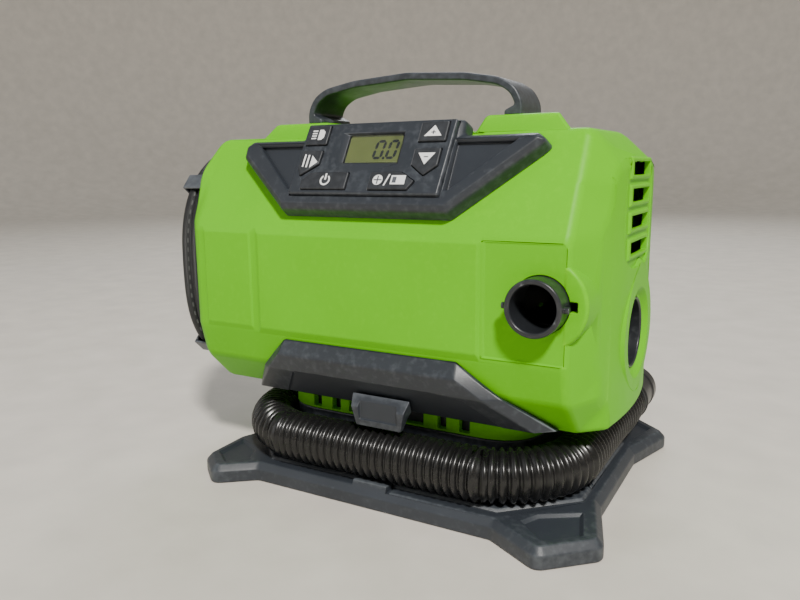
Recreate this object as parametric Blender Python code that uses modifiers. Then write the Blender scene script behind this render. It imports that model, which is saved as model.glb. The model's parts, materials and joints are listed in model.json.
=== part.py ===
"""Portable tire inflator: a high-pressure piston pump and a high-volume blower in one carry case.

Sizes are written in millimetres and built in metres. X runs to the right along the front, Y runs to
the back, Z is up, and the origin is the middle of the base's flat underside.
"""

import math

import bmesh
import bpy
from mathutils import Matrix, Vector

MM = 0.001
GAP = 0.3
FINE = 24

# Base: a four-footed plate, the same front and back; its right feet reach further out.
BASE_RIGHT = [(82, -100), (115, -119), (144, -92), (130.5, -45.5)]
BASE_LEFT = [(-86, -100), (-110, -119), (-131, -102), (-133, -66), (-126, -46)]
BASE_EDGE_Z = 8.5
BASE_TOP_Z = 12.5
BASE_CHAMFER = 3.6
HUB_TOP_Z = 14.4
PAD_RADIUS = 9
PAD_RIGHT_X, PAD_LEFT_X, PAD_Y = 122, -111.7, 97.6

# Case: half sections (y, z) from the bottom to the top, at stations along X.
SECTION_LEFT = [(-54, 62), (-75, 82), (-80, 104), (-80, 176), (-72.5, 203.5), (-52, 222)]
SECTION_MAIN = [(-62, 57), (-84, 79), (-90, 102), (-90, 169), (-72.7, 199), (-56, 228)]
SECTION_RIGHT = [(-52, 57), (-65, 80), (-68, 102), (-68, 172), (-54, 194.5), (-40, 217)]
LEFT_X, LEFT_SHOULDER_X, RIGHT_SHOULDER_X, RIGHT_X, DOME_X = -151, -141, 119, 129, 137
WALL = 2.8
SPLIT_Y = 40
CASE_MID_Z = 130

# Control console: its face leans back, and (u, v) run along X and up the slope from this point.
CONSOLE_ORIGIN = (0, -98, 180)
CONSOLE_TILT = math.radians(30)
CONSOLE_FLOOR = -12.1
PANEL_FACE = 1.6
BUTTON_FACE = 2.9
BOARD_TOP = -6.6

# Ports
OUTLET_X, OUTLET_Z, OUTLET_RADIUS, OUTLET_BORE = 104.5, 135.5, 15.6, 12.6
OUTLET_TIP_Y = -103
INLET_Y, INLET_Z, INLET_RADIUS, INLET_BORE = 4, 105, 22.4, 20.6
INLET_TIP_X = 134.5

# Blower
FAN_Y, FAN_Z = 0, 104
FAN_X = (88, 121)
IMPELLER_RADIUS = 33
BLADES = 10

# Piston pump, in the plane of its crank
PUMP_Y, MOTOR_Z, GEAR_Z = 12, 96, 126
MODULE = 1.0
PINION_TEETH, GEAR_TEETH = 12, 48
GEAR_X = (-43.5, -37.5)
ROD_X = (-35.3, -31.8)
CYLINDER_X = -33.55
CRANK_RADIUS, ROD_LENGTH = 10, 40
PISTON_RADIUS, CYLINDER_BORE = 13, 13.4
WRIST_Z = GEAR_Z + CRANK_RADIUS + ROD_LENGTH

# Carry handle: half outline (x, z) about its middle, foot to crown.
HANDLE_MID_X = -4.5
HANDLE_Y = (-37, -1)
HANDLE_OUTLINE = [(77, 237.4), (77, 245.5), (72.5, 254), (63, 260), (40, 264), (0, 266.5)]
STRAP = 4.6

# Air hose wound round the neck
NECK_HALF = (92, 65)
NECK_CORNER = 34
NECK_Z = (14.7, 56.7)
AIR_HOSE_RADIUS = 16.3
AIR_HOSE_HALF = (111, 84)
AIR_HOSE_CORNER = 52
AIR_HOSE_Z = 31
CUFF_RADIUS = 17.4

# Pressure hose wound on the spool at the left end
SPOOL_HALF = (74.5, 78)
SPOOL_MID_Z = 143
SPOOL_POWER = (3, 2.4)  # how square the oval is below and above its middle
PRESSURE_HOSE_RADIUS = 4.2
STRAND_X = (-155.9, -164.5)
SPOOL_X = (-151.3, -169.2)
CHUCK_AXIS, CHUCK_Z = (-167.3, 78.9), 100.4

# Battery and its dock at the back
DOCK_HALF_X, DOCK_Y, DOCK_Z = 52.5, (50, 90), (84, 228)
PACK_HALF_X, PACK_Y, PACK_Z = 48.9, (54, 112), (88, 196)

parts = bpy.data.collections.new("tire_inflator")
cutters = bpy.data.collections.new("cutters")


def clear_scene():
    for leftover in list(bpy.data.objects):
        bpy.data.objects.remove(leftover)
    bpy.context.scene.collection.children.link(parts)
    bpy.context.scene.collection.children.link(cutters)
    cutters.hide_render = True


def frame(origin, u, v, w):
    """Matrix that takes local (u, v, w) in millimetres to the world in millimetres."""
    axes = Matrix((u, v, w)).transposed().to_4x4()
    return Matrix.Translation(Vector(origin)) @ axes


TOP = frame((0, 0, 0), (1, 0, 0), (0, 1, 0), (0, 0, 1))
FRONT = frame((0, 0, 0), (1, 0, 0), (0, 0, 1), (0, -1, 0))
SIDE = frame((0, 0, 0), (0, 1, 0), (0, 0, 1), (1, 0, 0))
CONSOLE = frame(
    CONSOLE_ORIGIN,
    (1, 0, 0),
    (0, math.sin(CONSOLE_TILT), math.cos(CONSOLE_TILT)),
    (0, -math.cos(CONSOLE_TILT), math.sin(CONSOLE_TILT)),
)


def material(name, colour, roughness, metallic=0.0):
    made = bpy.data.materials.get(name) or bpy.data.materials.new(name)
    made.use_nodes = True
    shader = made.node_tree.nodes["Principled BSDF"]
    shader.inputs["Base Color"].default_value = (*colour, 1)
    shader.inputs["Roughness"].default_value = roughness
    shader.inputs["Metallic"].default_value = metallic
    return made


def add(name, mesh, collection, matrix=Matrix.Identity(4)):
    """A new object in the collection, its mesh taken from millimetres to metres."""
    mesh.transform(Matrix.Scale(MM, 4) @ matrix)
    made = bpy.data.objects.new(name, mesh)
    collection.objects.link(made)
    if collection is cutters:
        made.hide_render = True
        made.display_type = "WIRE"
    return made


def from_bmesh(name, shape, collection, matrix=Matrix.Identity(4)):
    bmesh.ops.recalc_face_normals(shape, faces=shape.faces)
    mesh = bpy.data.meshes.new(name)
    shape.to_mesh(mesh)
    shape.free()
    return add(name, mesh, collection, matrix)


def evaluated_mesh(source):
    """The source's evaluated mesh with its caps welded; the source is removed."""
    bpy.context.view_layer.update()
    graph = bpy.context.evaluated_depsgraph_get()
    mesh = bpy.data.meshes.new_from_object(source.evaluated_get(graph))
    bpy.data.objects.remove(source)
    shape = bmesh.new()
    shape.from_mesh(mesh)
    bmesh.ops.remove_doubles(shape, verts=shape.verts, dist=1e-7)
    bmesh.ops.recalc_face_normals(shape, faces=shape.faces)
    shape.to_mesh(mesh)
    shape.free()
    return mesh


def plate(name, outlines, low, high, plane=TOP, collection=parts):
    """A flat outline, with any holes after it, filled and extruded from low to high along w."""
    curve = bpy.data.curves.new(name, "CURVE")
    curve.dimensions = "2D"
    curve.fill_mode = "BOTH"
    curve.extrude = (high - low) / 2 * MM
    for outline in outlines:
        spline = curve.splines.new("POLY")
        spline.points.add(len(outline) - 1)
        spline.use_cyclic_u = True
        for point, (u, v) in zip(spline.points, outline):
            point.co = (u * MM, v * MM, 0, 1)
    source = bpy.data.objects.new(name, curve)
    parts.objects.link(source)
    mesh = evaluated_mesh(source)
    mesh.transform(Matrix.Scale(1 / MM, 4))
    return add(name, mesh, collection, plane @ Matrix.Translation((0, 0, (low + high) / 2)))


def box(name, low, high, collection=parts, plane=TOP):
    shape = bmesh.new()
    middle = (Vector(low) + Vector(high)) / 2
    size = Vector(high) - Vector(low)
    place = Matrix.Translation(middle) @ Matrix.Diagonal((*size, 1))
    bmesh.ops.create_cube(shape, size=1, matrix=place)
    return from_bmesh(name, shape, collection, plane)


def cylinder(name, radius, centre, low, high, plane, collection=parts, tip=None, sides=FINE):
    """A round bar about the (u, v) centre, from low to high along w, tapering to tip."""
    shape = bmesh.new()
    place = Matrix.Translation((centre[0], centre[1], (low + high) / 2))
    bmesh.ops.create_cone(
        shape,
        cap_ends=True,
        segments=sides,
        radius1=radius,
        radius2=radius if tip is None else tip,
        depth=high - low,
        matrix=place,
    )
    made = from_bmesh(name, shape, collection, plane)
    round_off(made)
    return made


def turned(name, profile, centre, plane, collection=parts, sides=FINE):
    """A (radius, w) profile turned about w through the (u, v) centre; it closes on itself."""
    shape = bmesh.new()
    ring = [shape.verts.new((radius, 0, w)) for radius, w in profile]
    for first, second in zip(ring, ring[1:] + ring[:1]):
        shape.edges.new((first, second))
    mesh = bpy.data.meshes.new(name)
    shape.to_mesh(mesh)
    shape.free()
    mesh.transform(Matrix.Scale(MM, 4))
    source = bpy.data.objects.new(name, mesh)
    parts.objects.link(source)
    screw = source.modifiers.new("turn", "SCREW")
    screw.steps = sides
    screw.render_steps = sides
    screw.use_merge_vertices = True
    screw.merge_threshold = 0.00005
    mesh = evaluated_mesh(source)
    mesh.transform(Matrix.Scale(1 / MM, 4))
    made = add(name, mesh, collection, plane @ Matrix.Translation((*centre, 0)))
    round_off(made)
    return made


def loft(name, rings, collection=parts):
    """A skin over rings of points with flat ends."""
    shape = bmesh.new()
    made = [[shape.verts.new(point) for point in ring] for ring in rings]
    for ring, following in zip(made, made[1:]):
        for i in range(len(ring)):
            j = (i + 1) % len(ring)
            shape.faces.new((ring[i], ring[j], following[j], following[i]))
    shape.faces.new(made[0])
    shape.faces.new(made[-1])
    bmesh.ops.triangulate(shape, faces=shape.faces)
    return from_bmesh(name, shape, collection)


def tube(name, points, radius, detail=2, collection=parts):
    curve = bpy.data.curves.new(name, "CURVE")
    curve.dimensions = "3D"
    curve.bevel_depth = radius * MM
    curve.bevel_resolution = detail
    curve.use_fill_caps = True
    spline = curve.splines.new("POLY")
    spline.points.add(len(points) - 1)
    for point, place in zip(spline.points, points):
        point.co = (*(Vector(place) * MM), 1)
    source = bpy.data.objects.new(name, curve)
    parts.objects.link(source)
    mesh = evaluated_mesh(source)
    mesh.transform(Matrix.Scale(1 / MM, 4))
    made = add(name, mesh, collection)
    round_off(made)
    return made


def round_off(target):
    target.data.shade_smooth()
    target.data.set_sharp_from_angle(angle=math.radians(40))


def change(target, tools, operation):
    for tool in tools:
        step = target.modifiers.new(tool.name, "BOOLEAN")
        step.operation = operation
        step.object = tool


def cut(target, *tools):
    change(target, tools, "DIFFERENCE")


def join(target, *tools):
    change(target, tools, "UNION")


def keep_inside(target, *tools):
    change(target, tools, "INTERSECT")


def set_origin(target, point):
    """Puts the object's origin on a joint's axis without moving its shape."""
    place = Vector(point) * MM
    target.data.transform(Matrix.Translation(-place))
    target.location = place


def mirrored(half):
    """A closed ring (y, z) from a half section at y < 0."""
    return half + [(-y, z) for y, z in reversed(half)]


def offset(outline, distance):
    """A closed outline moved inwards by a distance, corner by corner; it runs anticlockwise."""
    moved = []
    count = len(outline)
    for i in range(count):
        before = Vector(outline[i]) - Vector(outline[i - 1])
        after = Vector(outline[(i + 1) % count]) - Vector(outline[i])
        first = Vector((-before.y, before.x)).normalized()
        second = Vector((-after.y, after.x)).normalized()
        corner = (first + second) / (1 + first.dot(second))
        moved.append(tuple(Vector(outline[i]) + corner * distance))
    return moved


def rounded_rectangle(half_x, half_y, radius, steps=6):
    points = []
    for turn in range(4):
        angle = turn * math.pi / 2
        sign_x = 1 if turn in (0, 3) else -1
        sign_y = 1 if turn in (0, 1) else -1
        middle = (sign_x * (half_x - radius), sign_y * (half_y - radius))
        for step in range(steps + 1):
            at = angle + step / steps * math.pi / 2
            points.append((middle[0] + radius * math.cos(at), middle[1] + radius * math.sin(at)))
    return points


def power_ring(half_y, half_z, count):
    """A squarish oval (y, z) about the spool's middle."""
    ring = []
    for i in range(count):
        y, z = power_point(2 * math.pi * i / count, half_y, half_z)
        ring.append((y, z))
    return ring


def power_point(angle, half_y, half_z):
    shape = 2 / SPOOL_POWER[math.sin(angle) > 0]
    y = -half_y * math.copysign(abs(math.cos(angle)) ** shape, math.cos(angle))
    z = half_z * math.copysign(abs(math.sin(angle)) ** shape, math.sin(angle))
    return y, SPOOL_MID_Z + z


def gear_outline(teeth, middle, phase):
    """Teeth with straight flanks, thinner than their spaces so that a pair runs free."""
    pitch = MODULE * teeth / 2
    step = 2 * math.pi / teeth
    corners = [(-0.27, -1.15), (-0.1, 0.72), (0.1, 0.72), (0.27, -1.15)]
    outline = []
    for tooth in range(teeth):
        for share, height in corners:
            angle = phase + (tooth + share) * step
            radius = pitch + height * MODULE
            outline.append((middle[0] + radius * math.cos(angle), middle[1] + radius * math.sin(angle)))
    return outline


def circle(radius, middle, sides=FINE):
    points = []
    for i in range(sides):
        angle = 2 * math.pi * i / sides
        points.append((middle[0] + radius * math.cos(angle), middle[1] + radius * math.sin(angle)))
    return points


# Base, feet and neck


def base_outline():
    right = BASE_RIGHT + [(x, -y) for x, y in reversed(BASE_RIGHT)]
    left = BASE_LEFT + [(x, -y) for x, y in reversed(BASE_LEFT)]
    return right + left[::-1]


def make_base():
    outline = base_outline()
    heights = [(2, 0), (0, 2), (0, BASE_EDGE_Z), (BASE_CHAMFER, BASE_TOP_Z)]
    rings = [[(x, y, z) for x, y in offset(outline, inset)] for inset, z in heights]
    base = loft("base_plate", rings)
    hub = [(82, -90), (122, -52), (122, 52), (82, 90), (-82, 90), (-122, 52), (-122, -52), (-82, -90)]
    hub_rings = [[(x, y, z) for x, y in offset(hub, inset)] for inset, z in ((0, 9), (0, 12), (3, HUB_TOP_Z))]
    join(base, loft("hub", hub_rings, cutters))
    right_recess = [(97, -92), (115, -107), (132, -92), (125, -66), (103, -80)]
    left_recess = [(-97, -94), (-109, -107), (-124, -96), (-125, -70), (-106, -78)]
    for side, recess, pad_x in (("right", right_recess, PAD_RIGHT_X), ("left", left_recess, PAD_LEFT_X)):
        for end, sign in (("front", 1), ("rear", -1)):
            outline = [(x, y * sign) for x, y in recess]
            cut(base, plate("foot_recess", [outline], 10.8, 20, TOP, cutters))
            centre = (pad_x, -PAD_Y * sign)
            cut(base, cylinder("pad_pocket", PAD_RADIUS + GAP, centre, -5, 3 + GAP, TOP, cutters))
            pad = cylinder(f"foot_pad_{end}_{side}", PAD_RADIUS, centre, 0, 3, TOP)
            pad.data.materials.append(material("rubber", (0.02, 0.02, 0.022), 0.9))
    block = [[(x, -97.4, 10), (x, -95.6, 15.8), (x, -88.5, 14.4), (x, -86, 10)] for x in (-12, 12)]
    join(base, loft("front_block", block, cutters))
    base.data.materials.append(material("dark_plastic", (0.045, 0.052, 0.062), 0.45))


def make_neck():
    outline = rounded_rectangle(*NECK_HALF, NECK_CORNER)
    neck = plate("neck_collar", [outline], *NECK_Z)
    for x in (-55.5, -41, -27, 21, 37, 52.5):
        for front, back in ((-70, -61), (61, 70)):
            cut(neck, box("neck_slot", (x - 2.9, front, 40), (x + 2.9, back, 54), cutters))
    cut(neck, box("neck_hollow", (-80, -53, 10), (80, 53, 50), cutters))
    neck.data.materials.append(material("lime_plastic", (0.27, 0.93, 0.0), 0.35))


# Case

# The sloping plane across the case's top right corner.
CORNER_OUT = Vector((0.68, 0.115, 0.73)).normalized()
CORNER_BACK = (Vector((0, 1, 0)) - CORNER_OUT * CORNER_OUT.y).normalized()
CORNER = frame((119.4, 0, 229), CORNER_BACK.cross(CORNER_OUT), CORNER_BACK, CORNER_OUT)


def case_ring(x, half, inset=0.0, across=1.0, upright=1.0):
    ring = offset(mirrored(half), -inset)
    return [(x, y * across, CASE_MID_Z + (z - CASE_MID_Z) * upright) for y, z in ring]


def case_solid(name, inset, collection):
    """The case's outer form, or its hollow when inset by the wall."""
    dome = [(0.72, 0.97, 0.52), (0.4, 0.95, 0.84), (0.15, 0.94, 0.98)]
    rings = [
        case_ring(LEFT_X + inset, SECTION_LEFT, inset),
        case_ring(LEFT_SHOULDER_X, SECTION_MAIN, inset),
        case_ring(RIGHT_SHOULDER_X, SECTION_MAIN, inset),
        case_ring(RIGHT_X - inset * 0.6, SECTION_RIGHT, inset),
    ]
    for across, upright, rise in dome:
        x = RIGHT_X + (DOME_X - RIGHT_X) * rise - inset
        rings.append(case_ring(x, SECTION_RIGHT, inset, across, upright))
    solid = loft(name, rings, collection)
    cut(solid, box("corner_slope", (-90, -150, -inset), (90, 150, 60), cutters, CORNER))
    return solid


def frustum(name, low, high, z_low, z_high, plane=TOP):
    """A block whose base rectangle (u0, v0, u1, v1) shrinks to the top one."""
    rings = []
    for (u0, v0, u1, v1), w in ((low, z_low), (high, z_high)):
        corners = [(u0, v0), (u1, v0), (u1, v1), (u0, v1)]
        rings.append([plane @ Vector((u, v, w)) for u, v in corners])
    return loft(name, rings, cutters)


def case_tools():
    """The shapes that both halves of the case share: what is added, then what is taken away."""
    pad_foot = [(48, -57, 224), (113, -57, 224), (76, 28, 224), (48, 28, 224)]
    pad_top = [(56, -51, 237), (100, -51, 237), (66, 20, 237), (56, 20, 237)]
    added = [
        frustum("handle_pad_left", (-113, -57, -48, 57), (-98, -51, -56, 51), 226, 237),
        loft("handle_pad_right", [pad_foot, pad_top], cutters),
        frustum("front_panel", (-93, 101, 71, 168.5), (-88, 106, 66, 163), 85, 92.6, FRONT),
        cylinder("outlet_boss", 25.5, (OUTLET_X, OUTLET_Z), 60, 89.6, FRONT, cutters),
    ]
    taken = [
        case_solid("case_hollow", WALL, cutters),
        cylinder("outlet_hole", OUTLET_RADIUS + GAP, (OUTLET_X, OUTLET_Z), 50, 110, FRONT, cutters),
        cylinder("inlet_hole", INLET_RADIUS + GAP, (INLET_Y, INLET_Z), 111, 152, SIDE, cutters, sides=32),
        frustum("lug_notch", (120, 131.5, 127, 136.5), (120, 131.5, 128, 136.5), 70, 95, FRONT),
        frustum("console_opening", (-50, 23, 40, 55), (-50, 23, 40, 55), -30, -10, CONSOLE),
        box("gland_hole", (-160, 16, 195), (-145, 34, 211), cutters),
    ]
    for middle in (206, 190.5, 175, 159.5):
        taken.append(box("vent", (120, -26, middle - 4), (145, 20, middle + 4), cutters))
    return added, taken


def inlet_dish():
    """A shallow oval dish round the inlet, cut into the domed end."""
    rings = []
    for x, half_y, half_z in ((133.2, 28, 27), (133.2 + 6, 60, 48)):
        ring = []
        for i in range(28):
            angle = 2 * math.pi * i / 28
            ring.append((x, INLET_Y + half_y * math.cos(angle), INLET_Z + 3 + half_z * math.sin(angle)))
        rings.append(ring)
    return loft("inlet_dish", rings, cutters)


def make_case():
    added, taken = case_tools()
    taken.insert(1, inlet_dish())
    behind = box("behind_split", (-200, SPLIT_Y - GAP / 2, 0), (200, 200, 300), cutters)
    ahead = box("ahead_of_split", (-200, -200, 0), (200, SPLIT_Y + GAP / 2, 300), cutters)
    lime = material("lime_plastic", (0.27, 0.93, 0.0), 0.35)
    front = case_solid("front_shell", 0, parts)
    join(front, *added)
    cut(front, *taken, behind)
    rear = case_solid("rear_shell", 0, parts)
    join(rear, *added[:2])
    opening = box(
        "dock_opening",
        (-DOCK_HALF_X - GAP, DOCK_Y[0] - GAP, DOCK_Z[0] - GAP),
        (DOCK_HALF_X + GAP, 120, 260),
        cutters,
    )
    cut(rear, taken[0], ahead, opening)
    for i, (x, z) in enumerate(((-110, 112), (100, 112), (-110, 156), (100, 156)), 1):
        cut(rear, cylinder("screw_hole", 4.2, (x, z), -95, -70, FRONT, cutters, sides=16))
        screw = cylinder(f"shell_screw_{i}", 3.8, (x, z), -89, -76, FRONT, sides=16)
        slot = box("screw_slot", (x - 0.5, 88, z - 2.6), (x + 0.5, 92, z + 2.6), cutters)
        cross = box("screw_slot", (x - 2.6, 88, z - 0.5), (x + 2.6, 92, z + 0.5), cutters)
        cut(screw, slot, cross)
        screw.data.materials.append(material("steel", (0.5, 0.5, 0.52), 0.3, 1.0))
    front.data.materials.append(lime)
    rear.data.materials.append(lime)


def make_trim(name, turn):
    """A bevelled skirt under the case's front, or its back when turned round."""
    section = [
        (-90.2, 98.4), (-96, 89), (-92.5, 78.5), (-79, 59.4), (-65.1, 59.4), (-84.8, 79.3), (-89.6, 98.4),
    ]
    outline = [(-107.5, 57), (114, 57), (54, 99.5), (-66, 99.5)]
    skirt = plate(name, [section], -112, 124, SIDE)
    keep_inside(skirt, plate(name + "_outline", [outline], 60, 100, FRONT, cutters))
    if turn:
        skirt.rotation_euler.z = math.pi
        skirt.modifiers[0].object.rotation_euler.z = math.pi
        cut(skirt, bpy.data.objects["dock_opening"])
    skirt.data.materials.append(material("dark_plastic", (0.045, 0.052, 0.062), 0.45))


def make_hose_tab():
    section = [(-90.5, 49.6), (-92.5, 62), (-87.2, 69.6), (-80.6, 60.2), (-83.5, 58.4), (-87.5, 49.6)]
    tab = plate("hose_tab", [section], -20, 30, SIDE)
    outline = [(-13, 48), (19, 48), (25, 71), (-17, 71)]
    keep_inside(tab, plate("tab_outline", [outline], 75, 100, FRONT, cutters))
    cut(tab, frustum("tab_window", (-10, 53.5, 17, 61), (-11, 53, 18, 61.5), 89.6, 96, FRONT))
    tab.data.materials.append(material("dark_plastic", (0.045, 0.052, 0.062), 0.45))


# Control console

BUTTONS = {
    "light_button": [(-55.5, 46.6), (-38.7, 46.6), (-38.7, 60.6), (-55.5, 60.6)],
    "start_button": [(-55.5, 30.5), (-52.5, 25), (-40, 33.2), (-39.6, 43.2), (-55.5, 43.2)],
    "power_button": [(-49.5, 16), (-16.2, 16), (-16.2, 28), (-43.8, 28), (-50.5, 22.5)],
    "mode_button": [(-1.2, 16), (25.4, 16), (29.4, 22), (19.5, 28), (-1.2, 28)],
    "up_button": [(24.4, 47), (42.7, 47), (42.7, 60.6), (24.4, 60.6)],
    "down_button": [(24, 32), (33.5, 25), (41.6, 31.6), (41.6, 43.2), (24, 43.2)],
}
LCD_WINDOW = [(-24.4, 35.2), (13.2, 35.2), (13.2, 53.8), (-24.4, 53.8)]


def make_console():
    dark = material("dark_plastic", (0.045, 0.052, 0.062), 0.45)
    rim = [
        (-64, 6), (50, 6), (95.5, 46.6), (99, 50.4), (94, 54.4), (50, 54), (49, 64.6),
        (-60, 64.6), (-61, 54), (-103, 54), (-108, 50), (-107, 42),
    ]
    foot = offset(rim, -1.5)
    rings = []
    for outline, w in ((foot, CONSOLE_FLOOR), (rim, -3.5), (offset(rim, 2.5), -1)):
        rings.append([CONSOLE @ Vector((u, v, w)) for u, v in outline])
    bezel = loft("control_bezel", rings)
    left_wing = [(-97, 50.5), (-62, 20), (-61, 50.5)]
    right_wing = [(49.5, 50.5), (49, 22), (83, 50.5)]
    panel = [(-58.5, 13.8), (45, 13.8), (46.5, 62.5), (-57.5, 62.5)]
    for outline in (left_wing, right_wing):
        cut(bezel, plate("wing", [outline], -6, 5, CONSOLE, cutters))
    cut(bezel, plate("panel_seat", [offset(panel, -GAP)], -3.3, 9, CONSOLE, cutters))
    well = [(-56.6, 15.2), (43.6, 15.2), (44.6, 61.4), (-56.4, 61.4)]
    cut(bezel, plate("button_well", [well], -6, 5, CONSOLE, cutters))
    hollow = [(-54, 17.5), (42, 17.5), (42, 55), (-54, 55)]
    cut(bezel, plate("console_hollow", [hollow], -14, 5, CONSOLE, cutters))
    bezel.data.materials.append(dark)

    face = plate("control_panel", [panel], -3, PANEL_FACE, CONSOLE)
    window = offset(LCD_WINDOW, -GAP)
    cut(face, plate("lcd_hole", [window], -8, 8, CONSOLE, cutters))
    for name, outline in BUTTONS.items():
        cut(face, plate(name + "_hole", [outline], -8, 8, CONSOLE, cutters))
        button = plate(name, [offset(outline, 0.4)], -4.6, BUTTON_FACE, CONSOLE)
        middle = sum((Vector(point) for point in outline), Vector((0, 0))) / len(outline)
        set_origin(button, CONSOLE @ Vector((*middle, BUTTON_FACE)))
        button.data.materials.append(material("button_plastic", (0.03, 0.033, 0.038), 0.5))
    face.data.materials.append(dark)

    lens = plate("lcd_lens", [offset(LCD_WINDOW, 0.3)], -0.9, 0.4, CONSOLE)
    lens.data.materials.append(material("clear_plastic", (0.55, 0.6, 0.35), 0.1))
    module = plate("lcd_module", [offset(LCD_WINDOW, 0.3)], BOARD_TOP + GAP, -1.2, CONSOLE)
    module.data.materials.append(material("lcd_olive", (0.28, 0.33, 0.1), 0.3))
    board = [(-53, 18.2), (41, 18.2), (41, 50.4), (-53, 50.4)]
    board = plate("control_board", [board], BOARD_TOP - 1.6, BOARD_TOP, CONSOLE)
    board.data.materials.append(material("circuit_board", (0.02, 0.18, 0.07), 0.5))


def make_handle():
    right = [(HANDLE_MID_X + x, z) for x, z in HANDLE_OUTLINE]
    left = [(HANDLE_MID_X - x, z) for x, z in reversed(HANDLE_OUTLINE[:-1])]
    outer = right + left
    inner = offset(outer, STRAP)[1:-1]
    feet_right = (HANDLE_MID_X + 66, 237.4), (HANDLE_MID_X + 66, 240.5), (HANDLE_MID_X + 77 - STRAP, 243.5)
    feet_left = [(2 * HANDLE_MID_X - x, z) for x, z in reversed(feet_right)]
    outline = outer + list(reversed(feet_left)) + list(reversed(inner)) + list(reversed(feet_right))
    handle = plate("carry_handle", [outline], -HANDLE_Y[1], -HANDLE_Y[0], FRONT)
    handle.data.materials.append(material("dark_plastic", (0.045, 0.052, 0.062), 0.45))


# Ports and blower


def make_ports():
    black = material("black_plastic", (0.02, 0.021, 0.023), 0.35)
    centre = (OUTLET_X, OUTLET_Z)
    tip = -OUTLET_TIP_Y
    profile = [
        (OUTLET_BORE, tip - 0.8), (OUTLET_BORE + 0.8, tip), (OUTLET_RADIUS - 0.6, tip),
        (OUTLET_RADIUS, tip - 0.6), (OUTLET_RADIUS, 80), (OUTLET_BORE, 79),
    ]
    outlet = turned("outlet_port", profile, centre, FRONT, sides=32)
    for sign in (-1, 1):
        low = OUTLET_X + sign * 14.5
        high = OUTLET_X + sign * 18.3
        lug = cylinder("lug", 1.8, (tip * -1 + 5, OUTLET_Z), min(low, high), max(low, high), SIDE, cutters, sides=12)
        join(outlet, lug)
    outlet.data.materials.append(black)
    profile = [
        (INLET_BORE, INLET_TIP_X), (INLET_RADIUS, INLET_TIP_X), (INLET_RADIUS, 122), (INLET_BORE, 122),
    ]
    inlet = turned("inlet_port", profile, (INLET_Y, INLET_Z), SIDE, sides=32)
    for turn in range(3):
        bar = box("inlet_bar", (122, -21.5, -1), (124, 21.5, 1), cutters)
        bar.location = (0, INLET_Y * MM, INLET_Z * MM)
        bar.rotation_euler.x = turn * math.pi / 3
        join(inlet, bar)
    inlet.data.materials.append(black)


def scroll_outline(grow):
    """The blower casing (y, z): a scroll that widens up to the top, where its duct leaves forwards."""
    outline = [(-77.7, FAN_Z + 46 + grow), (0, FAN_Z + 46 + grow)]
    for step in range(1, 11):
        angle = math.radians(step * 29)
        radius = 46 - step * 0.9 + grow
        outline.append((FAN_Y + radius * math.sin(angle), FAN_Z + radius * math.cos(angle)))
    outline.append((-39, FAN_Z + 17 - grow))
    outline.append((-77.7, FAN_Z + 17 - grow))
    return outline


def make_blower():
    black = material("black_plastic", (0.02, 0.021, 0.023), 0.35)
    steel = material("steel", (0.5, 0.5, 0.52), 0.3, 1.0)
    housing = plate("fan_housing", [scroll_outline(0)], *FAN_X, SIDE)
    inside = scroll_outline(-2.2)
    inside[0] = (-90, inside[0][1])
    inside[-1] = (-90, inside[-1][1])
    cut(
        housing,
        plate("scroll_inside", [inside], FAN_X[0] + 2, FAN_X[1] - 2, SIDE, cutters),
        cylinder("fan_eye", 19, (FAN_Y, FAN_Z), 115, 130, SIDE, cutters),
        cylinder("shaft_hole", 6, (FAN_Y, FAN_Z), 80, 92, SIDE, cutters, sides=16),
    )
    housing.data.materials.append(black)

    blades = []
    for blade in range(BLADES):
        middle = 2 * math.pi * blade / BLADES
        for side, radius in ((-1, 9), (-1, IMPELLER_RADIUS), (1, IMPELLER_RADIUS), (1, 9)):
            angle = middle + side * 1.0 / radius
            blades.append((FAN_Y + radius * math.cos(angle), FAN_Z + radius * math.sin(angle)))
    impeller = plate("impeller", [blades], 96, 113, SIDE)
    join(
        impeller,
        cylinder("back_disc", IMPELLER_RADIUS - 0.5, (FAN_Y, FAN_Z), 94, 97, SIDE, cutters),
        cylinder("fan_shaft", 2.5, (FAN_Y, FAN_Z), 84.4, 95, SIDE, cutters, sides=12),
    )
    set_origin(impeller, (96, FAN_Y, FAN_Z))
    impeller.data.materials.append(material("pale_plastic", (0.6, 0.6, 0.58), 0.4))

    profile = [(0, 84), (6, 84), (6, 82), (15, 82), (17.5, 79), (17.5, 42), (15, 38), (0, 38)]
    motor = turned("blower_motor", profile, (FAN_Y, FAN_Z), SIDE)
    motor.data.materials.append(steel)


# Piston pump


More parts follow.
